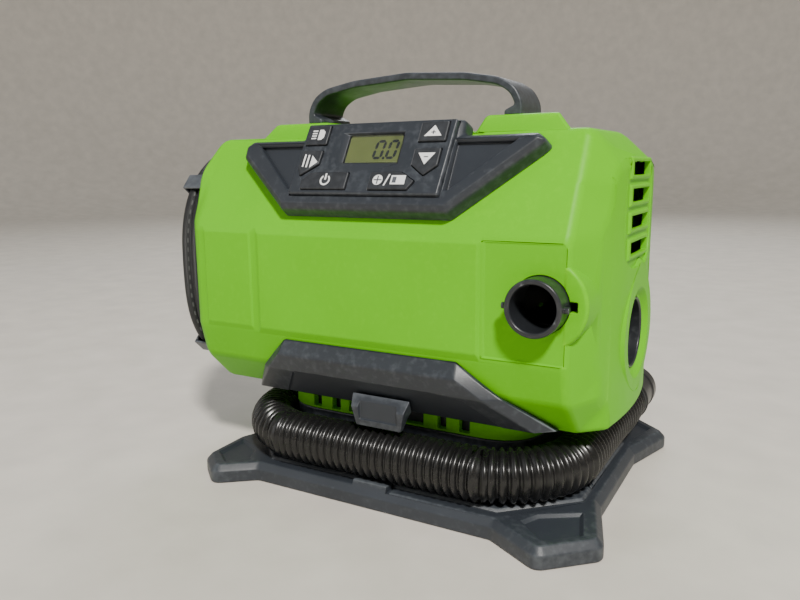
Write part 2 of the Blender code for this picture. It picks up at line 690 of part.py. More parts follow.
def make_pump():
    steel = material("steel", (0.5, 0.5, 0.52), 0.3, 1.0)
    alloy = material("cast_alloy", (0.6, 0.6, 0.6), 0.45, 1.0)
    profile = [(0, -46.3), (7, -46.3), (7, -47.5), (16, -47.5), (18, -50), (18, -94), (15, -98), (0, -98)]
    motor = turned("pump_motor", profile, (PUMP_Y, MOTOR_Z), SIDE)
    motor.data.materials.append(steel)

    low, high = GEAR_X
    pinion = plate("pinion", [gear_outline(PINION_TEETH, (PUMP_Y, MOTOR_Z), math.pi / 12)], low, high, SIDE)
    join(pinion, cylinder("motor_shaft", 2, (PUMP_Y, MOTOR_Z), -46, -36.4, SIDE, cutters, sides=12))
    set_origin(pinion, (low, PUMP_Y, MOTOR_Z))
    pinion.data.materials.append(steel)

    centre = (PUMP_Y, GEAR_Z)
    gear = plate("crank_gear", [gear_outline(GEAR_TEETH, centre, 0), circle(3.4, centre, 16)], low, high, SIDE)
    pin = cylinder("crank_pin", 2, (PUMP_Y, GEAR_Z + CRANK_RADIUS), high - 1, -35.6, SIDE, cutters, sides=12)
    join(gear, pin)
    set_origin(gear, (low, *centre))
    gear.data.materials.append(material("gear_plastic", (0.7, 0.68, 0.6), 0.5))

    casting = box("pump_frame", (-45.9, -8, 76), (-44, 32, 154))
    join(
        casting,
        box("pump_deck", (-54, -9, 153), (-13, 33, 157.5), cutters),
        cylinder("gear_axle", 3, centre, -45, high - 0.2, SIDE, cutters, sides=16),
    )
    cut(
        casting,
        cylinder("deck_hole", 14.5, (CYLINDER_X, PUMP_Y), 145, 165, TOP, cutters),
        cylinder("shaft_hole", 4, (PUMP_Y, MOTOR_Z), -50, -40, SIDE, cutters, sides=16),
    )
    casting.data.materials.append(alloy)

    rod_outline = []
    for middle, radius, start in ((GEAR_Z + CRANK_RADIUS, 5.5, math.pi), (WRIST_Z, 5, 0)):
        for step in range(9):
            angle = start + step / 8 * math.pi
            rod_outline.append((PUMP_Y + radius * math.cos(angle), middle + radius * math.sin(angle)))
    holes = [circle(2.4, (PUMP_Y, GEAR_Z + CRANK_RADIUS), 12), circle(2.6, (PUMP_Y, WRIST_Z), 12)]
    rod = plate("connecting_rod", [rod_outline, *holes], *ROD_X, SIDE)
    set_origin(rod, (CYLINDER_X, PUMP_Y, WRIST_Z))
    rod.data.materials.append(alloy)

    axis = (CYLINDER_X, PUMP_Y)
    piston = cylinder("piston", PISTON_RADIUS, axis, WRIST_Z - 4, WRIST_Z + 10, TOP)
    cut(
        piston,
        box("rod_slot", (ROD_X[0] - 1, PUMP_Y - 20, WRIST_Z - 8), (ROD_X[1] + 1, PUMP_Y + 20, WRIST_Z + 6.5), cutters),
        turned(
            "ring_groove",
            [(12.2, WRIST_Z + 8.6), (15, WRIST_Z + 8.6), (15, WRIST_Z + 7.4), (12.2, WRIST_Z + 7.4)],
            axis,
            TOP,
            cutters,
        ),
    )
    join(piston, cylinder("wrist_pin", 2.1, (PUMP_Y, WRIST_Z), -42, -25, SIDE, cutters, sides=12))
    set_origin(piston, (*axis, WRIST_Z))
    piston.data.materials.append(alloy)

    fins = [(CYLINDER_BORE, 195.7), (20, 195.7), (20, 193)]
    for low in (188, 182, 176, 170):
        fins += [(16, low + 3.6), (16, low), (19, low), (19, low - 1.6)]
    fins += [(16, 164.5), (16, 160), (19, 160), (19, 157.8), (CYLINDER_BORE, 157.8)]
    barrel = turned("cylinder", fins, axis, TOP)
    barrel.data.materials.append(alloy)
    profile = [(0, 206), (16, 206), (20, 203), (20, 196), (0, 196)]
    head = turned("cylinder_head", profile, axis, TOP)
    nipple = cylinder("nipple", 2.6, (PUMP_Y, 201), -60, -45, SIDE, cutters, sides=12)
    join(head, nipple)
    head.data.materials.append(alloy)
    sensor = box("pressure_sensor", (CYLINDER_X - 6, PUMP_Y - 6, 206.3), (CYLINDER_X + 6, PUMP_Y + 6, 212))
    sensor.data.materials.append(material("black_plastic", (0.02, 0.021, 0.023), 0.35))
    route = [(-60.3, 12, 201), (-75, 12.5, 201), (-95, 16, 201.5), (-115, 21, 202.5), (-132, 24.5, 203), (-146.7, 25, 203)]
    line = tube("air_tube", route, 2.6)
    line.data.materials.append(material("clear_tube", (0.7, 0.7, 0.68), 0.2))


# Hoses


def air_hose_route():
    """Once round the neck, from the cuff at the right rear to the cuff on the rear side."""
    half_x, half_y = AIR_HOSE_HALF
    ring = AIR_HOSE_CORNER
    route = [(half_x + 2, 84, 33.5), (half_x + 2, 62, 31.8), (half_x + 0.6, 40, AIR_HOSE_Z), (half_x, 12, AIR_HOSE_Z)]
    for centre_x, centre_y, start in (
        (half_x - ring, ring - half_y, 0),
        (ring - half_x, ring - half_y, 270),
        (ring - half_x, half_y - ring, 180),
    ):
        for step in range(8):
            angle = math.radians(start - step * 90 / 7)
            x = centre_x + ring * math.cos(angle)
            y = centre_y + ring * math.sin(angle)
            route.append((x, y, AIR_HOSE_Z))
    return route + [(-40, half_y, AIR_HOSE_Z), (-15, half_y, AIR_HOSE_Z), (12, half_y, AIR_HOSE_Z), (38, half_y, AIR_HOSE_Z)]


def make_air_hose():
    black = material("black_plastic", (0.02, 0.021, 0.023), 0.35)
    hose = tube("air_hose", air_hose_route(), AIR_HOSE_RADIUS, 4)
    hose.data.materials.append(black)
    profile = [(11, 0), (CUFF_RADIUS - 1, 0), (CUFF_RADIUS, 2), (CUFF_RADIUS, 33), (CUFF_RADIUS - 1.5, 35), (14.6, 35), (14.6, 14), (11, 12)]
    profile.reverse()
    tilt = math.atan2(1.7, 22)
    first = frame(
        (AIR_HOSE_HALF[0] + 2, 84.4, 33.5),
        (1, 0, 0),
        (0, math.sin(tilt), -math.cos(tilt)),
        (0, math.cos(tilt), math.sin(tilt)),
    )
    second = frame((38.4, AIR_HOSE_HALF[1], AIR_HOSE_Z + 1), (0, 1, 0), (0, 0, 1), (1, 0, 0))
    for name, place in (("cuff_end", first), ("cuff_start", second)):
        cuff = turned(name, profile, (0, 0), place)
        cuff.data.materials.append(black)


def pressure_hose_route():
    """Out of the gland, twice round the spool and into the chuck behind it."""
    route = [(STRAND_X[0], 20.5, 203), (STRAND_X[0], 8, 204), (STRAND_X[0], -8, 208.5)]
    for angle in range(66, -450, -12):
        y, z = power_point(math.radians(angle), *SPOOL_HALF)
        share = min(max((-190 - angle) / 72, 0), 1)
        share = share * share * (3 - 2 * share)
        route.append((STRAND_X[0] + (STRAND_X[1] - STRAND_X[0]) * share, y, z))
    bend = 34.8
    middle_y, middle_z = CHUCK_AXIS[1] - bend, CHUCK_Z - 1.2
    for share, angle in ((0, -90), (0.2, -72), (0.4, -54), (0.6, -36), (0.8, -18), (1, 0)):
        at = math.radians(angle)
        x = STRAND_X[1] + (CHUCK_AXIS[0] - STRAND_X[1]) * share
        route.append((x, middle_y + bend * math.cos(at), middle_z + bend * math.sin(at)))
    return route


def make_pressure_hose():
    dark = material("dark_plastic", (0.045, 0.052, 0.062), 0.45)
    brass = material("brass", (0.75, 0.55, 0.25), 0.3, 1.0)
    hose = tube("pressure_hose", pressure_hose_route(), PRESSURE_HOSE_RADIUS)
    hose.data.materials.append(material("hose_rubber", (0.015, 0.015, 0.016), 0.5))

    core = power_ring(SPOOL_HALF[0] - 4.8, SPOOL_HALF[1] - 4.8, 36)
    rim = power_ring(SPOOL_HALF[0] - 3, SPOOL_HALF[1] - 3, 36)
    spool = plate("hose_spool", [core], SPOOL_X[1], SPOOL_X[0], SIDE)
    arm_x, arm_y = CHUCK_AXIS
    join(
        spool,
        plate("spool_rim", [rim], SPOOL_X[1] - 2.4, SPOOL_X[1] + 0.2, SIDE, cutters),
        box("chuck_arm", (arm_x - 6.7, 60, CHUCK_Z + 9), (arm_x + 6.7, arm_y + 3, CHUCK_Z + 17), cutters),
    )
    cut(spool, cylinder("chuck_seat", 5.5, CHUCK_AXIS, CHUCK_Z, CHUCK_Z + 30, TOP, cutters))
    cut(
        spool,
        box("gland_notch", (-161.5, -43, 193), (-140, 40, 230), cutters),
        box("spool_hollow", (-168, -52, 88), (-140, 52, 186), cutters),
        cylinder("light_hole", 14.3, (0, SPOOL_MID_Z), -175, -160, SIDE, cutters),
    )
    spool.data.materials.append(dark)
    light = cylinder("work_light", 14, (0, SPOOL_MID_Z), -172.4, -168.8, SIDE)
    light.data.materials.append(material("clear_lens", (0.8, 0.82, 0.85), 0.1))

    for name, angle in (("hose_clip_upper", 38), ("hose_clip_lower", -45)):
        y, z = power_point(math.radians(angle), *SPOOL_HALF)
        outward = math.atan2(z - SPOOL_MID_Z, y)
        clip_plane = frame(
            (0, y, z),
            (0, math.cos(outward), math.sin(outward)),
            (0, -math.sin(outward), math.cos(outward)),
            (1, 0, 0),
        )
        clip = box(name, (-2.6, -6, -171), (6.7, 6, -151.3), plane=clip_plane)
        cut(clip, box("clip_inside", (-10, -9, -169.2), (4.9, 9, -150), cutters, clip_plane))
        clip.data.materials.append(dark)

    profile = [(2.9, -151), (5, -151), (5, -147), (2.9, -147)]
    gland_plane = frame((STRAND_X[0], 0, 203), (1, 0, 0), (0, 0, -1), (0, 1, 0))
    gland = cylinder("hose_gland", 5.2, (0, 0), 21.2, 31, gland_plane, sides=16)
    join(gland, cylinder("gland_stem", 3.4, (25.8, 203), STRAND_X[0], -147, SIDE, cutters, sides=12))
    gland.data.materials.append(brass)

    axis, low = CHUCK_AXIS, CHUCK_Z
    profile = [(0, 45), (5.6, 45), (6.4, 43), (6.4, 27), (5.2, 24), (5.2, 4), (4.4, 0), (0, 0)]
    chuck = turned("chuck_body", [(r, z + low) for r, z in profile], axis, TOP, sides=16)
    chuck.data.materials.append(brass)
    lever = box("chuck_lever", (axis[0] - 3.2, axis[1] + 7, low + 14), (axis[0] + 3.2, axis[1] + 9.4, low + 43.2))
    set_origin(lever, (axis[0], axis[1] + 8.2, low + 42))
    lever.data.materials.append(dark)
    for inner, outer in ((-5.6, -3.6), (3.6, 5.6)):
        ear = ((axis[0] + inner, axis[1], low + 39.4), (axis[0] + outer, axis[1] + 10.4, low + 44.6))
        join(chuck, box("chuck_ear", *ear, cutters))


# Battery


def make_battery():
    black = material("black_plastic", (0.02, 0.021, 0.023), 0.35)
    dock = box("battery_dock", (-DOCK_HALF_X, DOCK_Y[0], DOCK_Z[0]), (DOCK_HALF_X, DOCK_Y[1], DOCK_Z[1]))
    channel = DOCK_HALF_X - 2.5
    cut(dock, box("dock_channel", (-channel, DOCK_Y[0] + 3, DOCK_Z[0] + 3), (channel, 130, 260), cutters))
    for sign in (-1, 1):
        inner, outer = sorted((sign * (channel - 2.2), sign * (channel + 1)))
        join(dock, box("dock_rail", (inner, 60, 92), (outer, 64, 200), cutters))
    keep_inside(dock, plate("dock_form", [mirrored(SECTION_MAIN)], -60, 60, SIDE, cutters))
    dock.data.materials.append(black)

    low = (-PACK_HALF_X, PACK_Y[0], PACK_Z[0])
    high = (PACK_HALF_X, PACK_Y[1], PACK_Z[1])
    pack = box("battery_pack", low, high)
    for sign in (-1, 1):
        inner, outer = sorted((sign * (PACK_HALF_X - 1.6), sign * (PACK_HALF_X + 5)))
        cut(pack, box("pack_groove", (inner, 59.5, 80), (outer, 64.5, 205), cutters))
        inner, outer = sorted((sign * (PACK_HALF_X - 7), sign * (PACK_HALF_X + 5)))
        side = [(inner, 100), (outer, 100), (outer, 96)]
        taper = frustum("pack_grip", (inner, PACK_Y[1] - 9, outer, 130), (inner, PACK_Y[1] - 9, outer, 130), 120, 168)
        cut(pack, taper)
    cut(pack, box("latch_pocket", (-13.4, PACK_Y[1] - 7, 172.6), (13.4, 130, 189.4), cutters))
    set_origin(pack, (0, 80, PACK_Z[0]))
    pack.data.materials.append(black)
    latch = box("battery_latch", (-13, PACK_Y[1] - 4, 173), (13, PACK_Y[1] + 1.2, 189))
    set_origin(latch, (0, PACK_Y[1], 181))
    latch.data.materials.append(material("lime_plastic", (0.27, 0.93, 0.0), 0.35))


def gather():
    """Every piece hangs from one empty, so the inflator moves as one object."""
    root = bpy.data.objects.new("inflator_root", None)
    parts.objects.link(root)
    for made in list(parts.objects):
        if made is not root:
            made.parent = root


clear_scene()
make_base()
make_neck()
make_case()
make_trim("front_trim", False)
make_trim("rear_trim", True)
make_hose_tab()
make_console()
make_handle()
make_ports()
make_blower()
make_pump()
make_air_hose()
make_pressure_hose()
make_battery()
gather()
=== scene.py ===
"""The tire inflator's looks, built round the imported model. Lengths are in millimetres unless said."""

import json
import math

import bmesh
import bpy
from mathutils import Matrix, Vector

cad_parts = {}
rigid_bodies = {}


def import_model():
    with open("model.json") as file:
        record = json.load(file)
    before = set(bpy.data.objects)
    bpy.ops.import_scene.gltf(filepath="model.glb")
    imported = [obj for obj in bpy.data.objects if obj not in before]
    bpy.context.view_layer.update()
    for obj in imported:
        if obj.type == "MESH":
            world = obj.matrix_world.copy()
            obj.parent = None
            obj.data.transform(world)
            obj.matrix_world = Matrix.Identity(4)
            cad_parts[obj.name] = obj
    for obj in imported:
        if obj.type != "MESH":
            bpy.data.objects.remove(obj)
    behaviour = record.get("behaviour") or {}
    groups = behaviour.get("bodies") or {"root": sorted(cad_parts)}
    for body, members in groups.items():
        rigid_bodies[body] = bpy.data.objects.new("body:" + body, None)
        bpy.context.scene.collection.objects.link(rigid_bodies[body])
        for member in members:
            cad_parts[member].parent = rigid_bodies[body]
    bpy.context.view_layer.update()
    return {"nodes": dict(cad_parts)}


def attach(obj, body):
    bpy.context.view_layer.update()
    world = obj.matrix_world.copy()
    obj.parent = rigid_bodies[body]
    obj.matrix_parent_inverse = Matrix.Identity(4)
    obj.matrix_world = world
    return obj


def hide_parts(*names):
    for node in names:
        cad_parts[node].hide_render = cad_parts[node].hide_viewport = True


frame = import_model()
nodes = frame["nodes"]
MM = 0.001
CONSOLE_TILT = math.radians(30)


def plane(origin, u, v, w):
    """Matrix that takes local (u, v, w) to the row frame, both in millimetres."""
    return Matrix.Translation(Vector(origin)) @ Matrix((u, v, w)).transposed().to_4x4()


TOP = plane((0, 0, 0), (1, 0, 0), (0, 1, 0), (0, 0, 1))
FRONT = plane((0, 0, 0), (1, 0, 0), (0, 0, 1), (0, -1, 0))
SIDE = plane((0, 0, 0), (0, 1, 0), (0, 0, 1), (1, 0, 0))
CONSOLE = plane(
    (0, -98, 180),
    (1, 0, 0),
    (0, math.sin(CONSOLE_TILT), math.cos(CONSOLE_TILT)),
    (0, -math.cos(CONSOLE_TILT), math.sin(CONSOLE_TILT)),
)


# Camera, floor and light


def make_camera():
    data = bpy.data.cameras.new("camera")
    camera = bpy.data.objects.new("camera", data)
    bpy.context.scene.collection.objects.link(camera)
    yaw, pitch, roll = math.radians(29.63), math.radians(10.39), math.radians(-0.55)
    turn = Matrix.Rotation(yaw, 4, "Z") @ Matrix.Rotation(math.pi / 2 - pitch, 4, "X")
    camera.matrix_world = Matrix.Translation((0.2257, -0.4521, 0.2078)) @ turn @ Matrix.Rotation(roll, 4, "Z")
    data.lens = 32.61
    data.sensor_width = 36
    bpy.context.scene.camera = camera


def area_light(name, place, size, power, colour=(1, 1, 1), aim=(0, 0, 0.1)):
    data = bpy.data.lights.new(name, "AREA")
    data.shape = "DISK"
    data.size = size
    data.energy = power
    data.color = colour
    light = bpy.data.objects.new(name, data)
    bpy.context.scene.collection.objects.link(light)
    way = Vector(aim) - Vector(place)
    light.matrix_world = Matrix.Translation(place) @ way.to_track_quat("-Z", "Y").to_matrix().to_4x4()


def make_stage():
    """A pale floor that curves up into a pale wall all round."""
    shape = bmesh.new()
    profile = [(0.0, 0.0), (1.5, 0.0), (3.0, 0.0)]
    for step in range(1, 9):
        angle = step / 8 * math.pi / 2
        profile.append((3.0 + 1.0 * math.sin(angle), 1.0 - 1.0 * math.cos(angle)))
    profile.append((4.0, 3.0))
    rings = []
    for radius, z in profile[1:]:
        rings.append([shape.verts.new((x, y, z)) for x, y in circle(radius, sides=48)])
    shape.faces.new(rings[0])
    for inner, outer in zip(rings, rings[1:]):
        for i in range(48):
            j = (i + 1) % 48
            shape.faces.new((inner[i], outer[i], outer[j], inner[j]))
    mesh = bpy.data.meshes.new("stage_floor")
    shape.to_mesh(mesh)
    shape.free()
    mesh.shade_smooth()
    floor = bpy.data.objects.new("stage_floor", mesh)
    bpy.context.scene.collection.objects.link(floor)
    paint = moulding("floor_paint", (0.62, 0.58, 0.52), 0.8, grain=60, bump=0.02, vary=0.06)
    floor.data.materials.append(paint)


def make_lights():
    world = bpy.data.worlds.new("studio")
    bpy.context.scene.world = world
    world.use_nodes = True
    backdrop = world.node_tree.nodes["Background"]
    backdrop.inputs["Color"].default_value = (0.9, 0.95, 1.0, 1)
    backdrop.inputs["Strength"].default_value = 0.32
    area_light("key", (1.15, -1.45, 2.0), 0.3, 100, (1.0, 0.97, 0.92))
    area_light("fill", (-1.6, -1.4, 0.9), 1.6, 7, (0.92, 0.96, 1.0))
    area_light("back", (-0.6, 1.7, 1.7), 1.2, 22, (0.95, 0.98, 1.0))


# Materials


def nodes_of(made):
    tree = made.node_tree
    return tree.nodes, tree.links, tree.nodes["Principled BSDF"]


def new_material(name):
    made = bpy.data.materials.new(name)
    made.use_nodes = True
    return made


def noise_node(tree_nodes, links, scale, detail=3.0, distortion=0.0):
    place = tree_nodes.new("ShaderNodeTexCoord")
    texture = tree_nodes.new("ShaderNodeTexNoise")
    texture.inputs["Scale"].default_value = scale
    texture.inputs["Detail"].default_value = detail
    texture.inputs["Distortion"].default_value = distortion
    links.new(place.outputs["Object"], texture.inputs["Vector"])
    return texture


def ramp_node(tree_nodes, links, source, stops):
    ramp = tree_nodes.new("ShaderNodeValToRGB")
    elements = ramp.color_ramp.elements
    while len(elements) < len(stops):
        elements.new(0.5)
    for element, (at, colour) in zip(elements, stops):
        element.position = at
        element.color = (*colour, 1)
    links.new(source, ramp.inputs["Fac"])
    return ramp


def math_node(tree_nodes, links, operation, *values):
    """The result of a Math node whose inputs are numbers or other nodes' outputs."""
    made = tree_nodes.new("ShaderNodeMath")
    made.operation = operation
    for socket, value in zip(made.inputs, values):
        if isinstance(value, bpy.types.NodeSocket):
            links.new(value, socket)
        else:
            socket.default_value = value
    return made.outputs["Value"]


def moulding(name, colour, rough, metallic=0.0, grain=1800, bump=0.15, vary=0.08, wear=None, gloss=0.5):
    """Moulded plastic or cast metal: a fine grain, slow colour drift, uneven gloss and paler worn edges."""
    made = new_material(name)
    tree_nodes, links, shader = nodes_of(made)
    drift = noise_node(tree_nodes, links, 22.0, 4.0)
    dark = tuple(c * (1 - vary) for c in colour)
    light = tuple(min(1.0, c * (1 + vary)) for c in colour)
    tint = ramp_node(tree_nodes, links, drift.outputs["Fac"], [(0.3, dark), (0.7, light)])
    out = tint.outputs["Color"]
    if wear:
        form = tree_nodes.new("ShaderNodeNewGeometry")
        scuff = noise_node(tree_nodes, links, 260.0, 6.0)
        worn = (scuff.outputs["Fac"], 0.1, form.outputs["Pointiness"])
        edge = math_node(tree_nodes, links, "MULTIPLY_ADD", *worn)
        mask = ramp_node(tree_nodes, links, edge, [(0.57, (0, 0, 0)), (0.68, (1, 1, 1))])
        mix = tree_nodes.new("ShaderNodeMix")
        mix.data_type = "RGBA"
        links.new(mask.outputs["Color"], mix.inputs["Factor"])
        links.new(out, mix.inputs["A"])
        mix.inputs["B"].default_value = (*wear, 1)
        out = mix.outputs["Result"]
    links.new(out, shader.inputs["Base Color"])
    sheen = noise_node(tree_nodes, links, 70.0, 5.0)
    spread = tree_nodes.new("ShaderNodeMapRange")
    spread.inputs["To Min"].default_value = rough * 0.85
    spread.inputs["To Max"].default_value = min(1.0, rough * 1.18)
    links.new(sheen.outputs["Fac"], spread.inputs["Value"])
    links.new(spread.outputs["Result"], shader.inputs["Roughness"])
    fine = noise_node(tree_nodes, links, grain, 2.0)
    relief = tree_nodes.new("ShaderNodeBump")
    relief.inputs["Strength"].default_value = bump
    relief.inputs["Distance"].default_value = 0.0002
    links.new(fine.outputs["Fac"], relief.inputs["Height"])
    links.new(relief.outputs["Normal"], shader.inputs["Normal"])
    shader.inputs["Metallic"].default_value = metallic
    shader.inputs["Specular IOR Level"].default_value = gloss
    return made


def braid_material():
    """Black woven cover with pale dashes painted on in three rows as glints of light; the piece's UV runs
    round the hose and along it in turns.
    """
    made = new_material("braid")
    tree_nodes, links, shader = nodes_of(made)
    place = tree_nodes.new("ShaderNodeTexCoord")
    heights = []
    for slant in (1, -1):
        turn = tree_nodes.new("ShaderNodeMapping")
        turn.inputs["Rotation"].default_value = (0, 0, slant * math.radians(45))
        turn.inputs["Scale"].default_value = (8, 8, 1)
        links.new(place.outputs["UV"], turn.inputs["Vector"])
        wave = tree_nodes.new("ShaderNodeTexWave")
        wave.inputs["Scale"].default_value = 1.0
        wave.inputs["Distortion"].default_value = 0.4
        links.new(turn.outputs["Vector"], wave.inputs["Vector"])
        heights.append(wave.outputs["Fac"])
    both = math_node(tree_nodes, links, "MAXIMUM", *heights)
    tint = ramp_node(tree_nodes, links, both, [(0.2, (0.003, 0.003, 0.004)), (0.9, (0.014, 0.015, 0.017))])
    split = tree_nodes.new("ShaderNodeSeparateXYZ")
    links.new(place.outputs["UV"], split.inputs["Vector"])
    # Pale dashes in three rows along the hose: painted glints of light on the braid, not a coloured thread.
    glint_dashes = []
    for axis, repeat, width in (("X", 3, 0.06), ("Y", 4, 0.24)):
        turns = math_node(tree_nodes, links, "MULTIPLY", split.outputs[axis], repeat)
        share = math_node(tree_nodes, links, "FRACT", turns)
        glint_dashes.append(math_node(tree_nodes, links, "COMPARE", share, 0.5, width))
    painted_glints = math_node(tree_nodes, links, "MULTIPLY", *glint_dashes)
    # Lays the pale painted glint colour over the dark weave.
    mix = tree_nodes.new("ShaderNodeMix")
    mix.data_type = "RGBA"
    links.new(painted_glints, mix.inputs["Factor"])
    links.new(tint.outputs["Color"], mix.inputs["A"])
    mix.inputs["B"].default_value = (0.085, 0.09, 0.088, 1)
    links.new(mix.outputs["Result"], shader.inputs["Base Color"])
    relief = tree_nodes.new("ShaderNodeBump")
    relief.inputs["Strength"].default_value = 0.8
    relief.inputs["Distance"].default_value = 0.0004
    links.new(both, relief.inputs["Height"])
    links.new(relief.outputs["Normal"], shader.inputs["Normal"])
    shader.inputs["Roughness"].default_value = 0.38
    return made


def lens_material(name, colour, rough, weight):
    made = new_material(name)
    tree_nodes, links, shader = nodes_of(made)
    drift = noise_node(tree_nodes, links, 120.0)
    dark = tuple(c * 0.94 for c in colour)
    tint = ramp_node(tree_nodes, links, drift.outputs["Fac"], [(0.35, dark), (0.65, colour)])
    links.new(tint.outputs["Color"], shader.inputs["Base Color"])
    shader.inputs["Roughness"].default_value = rough
    shader.inputs["Transmission Weight"].default_value = weight
    shader.inputs["IOR"].default_value = 1.49
    return made


MATERIALS = {}


def make_materials():
    dark_edge = (0.13, 0.145, 0.165)
    MATERIALS.update(
        lime_plastic=moulding(
            "lime", (0.125, 0.5, 0.0), 0.42, vary=0.03, bump=0.05, wear=(0.19, 0.62, 0.002), gloss=0.12
        ),
        dark_plastic=moulding("slate", (0.02, 0.024, 0.031), 0.4, vary=0.12, bump=0.3, wear=dark_edge),
        base_plastic=moulding(
            "base_slate", (0.026, 0.031, 0.039), 0.45, vary=0.14, bump=0.4, wear=(0.13, 0.145, 0.16)
        ),
        button_plastic=moulding(
            "button_slate", (0.015, 0.017, 0.021), 0.5, vary=0.1, bump=0.35, wear=(0.075, 0.082, 0.095)
        ),
        black_plastic=moulding(
            "black", (0.012, 0.0125, 0.014), 0.3, vary=0.12, bump=0.12, wear=(0.06, 0.065, 0.07)
        ),
        hose_plastic=moulding("hose", (0.008, 0.008, 0.008), 0.27, vary=0.25, bump=0.1),
        port_plastic=moulding(
            "port_grey", (0.017, 0.019, 0.022), 0.32, vary=0.12, bump=0.2, wear=(0.12, 0.13, 0.14)
        ),
        hose_rubber=braid_material(),
        rubber=moulding("rubber", (0.013, 0.013, 0.014), 0.85, vary=0.2, bump=0.5, grain=900),
        steel=moulding("steel", (0.48, 0.48, 0.5), 0.3, 1.0, vary=0.06, bump=0.15, grain=500),
        cast_alloy=moulding("cast_alloy", (0.55, 0.55, 0.56), 0.5, 1.0, vary=0.08, bump=0.5, grain=900),
        gear_plastic=moulding("gear_nylon", (0.62, 0.6, 0.52), 0.45, vary=0.05, bump=0.1),
        pale_plastic=moulding("pale_plastic", (0.52, 0.52, 0.5), 0.4, vary=0.05, bump=0.15),
        clear_tube=moulding("tube_plastic", (0.6, 0.6, 0.57), 0.2, vary=0.05, bump=0.05),
        brass=moulding("brass", (0.62, 0.42, 0.16), 0.28, 1.0, vary=0.1, bump=0.1, grain=700),
        circuit_board=moulding("solder_mask", (0.015, 0.13, 0.05), 0.35, vary=0.2, bump=0.4, grain=300),
        lcd_olive=moulding("display_olive", (0.2, 0.235, 0.075), 0.35, vary=0.05, bump=0.02),
        ink=moulding("display_ink", (0.002, 0.004, 0.025), 0.4, vary=0.1, bump=0.02),
        print_white=moulding("print_white", (0.78, 0.79, 0.79), 0.5, vary=0.03, bump=0.05),
        clear_plastic=lens_material("clear_window", (0.95, 0.97, 0.9), 0.05, 1.0),
        clear_lens=lens_material("light_lens", (0.92, 0.94, 0.97), 0.25, 0.6),
    )


# Shapes


def stored(name, shape, matrix=Matrix.Identity(4)):
    """The shape as an object, with its twisted faces split so that a Boolean finds every face flat."""
    shape.normal_update()
    twisted = []
    for face in shape.faces:
        first = face.verts[0].co
        if max(abs((vert.co - first).dot(face.normal)) for vert in face.verts) > 0.002:
            twisted.append(face)
    bmesh.ops.triangulate(shape, faces=twisted)
    bmesh.ops.recalc_face_normals(shape, faces=shape.faces)
    mesh = bpy.data.meshes.new(name)
    shape.to_mesh(mesh)
    shape.free()
    mesh.transform(Matrix.Scale(MM, 4) @ matrix)
    made = bpy.data.objects.new(name, mesh)
    bpy.context.scene.collection.objects.link(made)
    return made


def loft(name, rings, matrix=Matrix.Identity(4), closed=False):
    shape = bmesh.new()
    made = [[shape.verts.new(point) for point in ring] for ring in rings]
    following = made[1:] + made[:1] if closed else made[1:]
    for ring, after in zip(made, following):
        for i in range(len(ring)):
            j = (i + 1) % len(ring)
            shape.faces.new((ring[i], ring[j], after[j], after[i]))
    if not closed:
        shape.faces.new(made[0])
        shape.faces.new(made[-1])
    return stored(name, shape, matrix)


def plate(name, outline, low, high, matrix=TOP, inset=None):
    """An outline extruded from low to high; the high face may be drawn in by inset."""
    rings = [[(u, v, low) for u, v in outline]]
    if inset:
        rings.append([(u, v, high - inset) for u, v in outline])
        rings.append([(u, v, high) for u, v in offset(outline, inset)])
    else:
        rings.append([(u, v, high) for u, v in outline])
    return loft(name, rings, matrix)


def box(name, low, high, matrix=TOP):
    outline = [(low[0], low[1]), (high[0], low[1]), (high[0], high[1]), (low[0], high[1])]
    return plate(name, outline, low[2], high[2], matrix)


def frustum(name, low, high, z_low, z_high, matrix=TOP):
    rings = []
    for (u0, v0, u1, v1), w in ((low, z_low), (high, z_high)):
        rings.append([(u0, v0, w), (u1, v0, w), (u1, v1, w), (u0, v1, w)])
    return loft(name, rings, matrix)


def circle(radius, middle=(0, 0), sides=48):
    points = []
    for i in range(sides):
        angle = math.tau * i / sides
        points.append((middle[0] + radius * math.cos(angle), middle[1] + radius * math.sin(angle)))
    return points


def oblong(u0, v0, u1, v1):
    return [(u0, v0), (u1, v0), (u1, v1), (u0, v1)]


def turned(name, profile, centre, matrix, sides=64):
    """A closed (radius, w) profile turned about w through the (u, v) centre."""
    rings = []
    for i in range(sides):
        angle = math.tau * i / sides
        across, up = math.cos(angle), math.sin(angle)
        rings.append([(centre[0] + r * across, centre[1] + r * up, w) for r, w in profile])
    made = loft(name, rings, matrix, closed=True)
    shape = bmesh.new()
    shape.from_mesh(made.data)
    bmesh.ops.remove_doubles(shape, verts=shape.verts, dist=1e-7)
    bmesh.ops.recalc_face_normals(shape, faces=shape.faces)
    shape.to_mesh(made.data)
    shape.free()
    return made


def offset(outline, distance):
    """A closed anticlockwise outline moved inwards, corner by corner."""
    moved = []
    count = len(outline)
    for i in range(count):
        before = Vector(outline[i]) - Vector(outline[i - 1])
        after = Vector(outline[(i + 1) % count]) - Vector(outline[i])
        first = Vector((-before.y, before.x)).normalized()
        second = Vector((-after.y, after.x)).normalized()
        corner = (first + second) / (1 + first.dot(second))
        moved.append(tuple(Vector(outline[i]) + corner * distance))
    return moved


def rounded(outline, radius, steps=4):
    """The outline with each corner turned into an arc."""
    points = []
    count = len(outline)
    for i in range(count):
        corner = Vector(outline[i])
        before = (Vector(outline[i - 1]) - corner)
        after = (Vector(outline[(i + 1) % count]) - corner)
        half = before.angle(after) / 2
        reach = min(radius / math.tan(half), before.length * 0.45, after.length * 0.45)
        start = corner + before.normalized() * reach
        end = corner + after.normalized() * reach
        for step in range(steps + 1):
            t = step / steps
            points.append(tuple((1 - t) ** 2 * start + 2 * t * (1 - t) * corner + t * t * end))
    return points


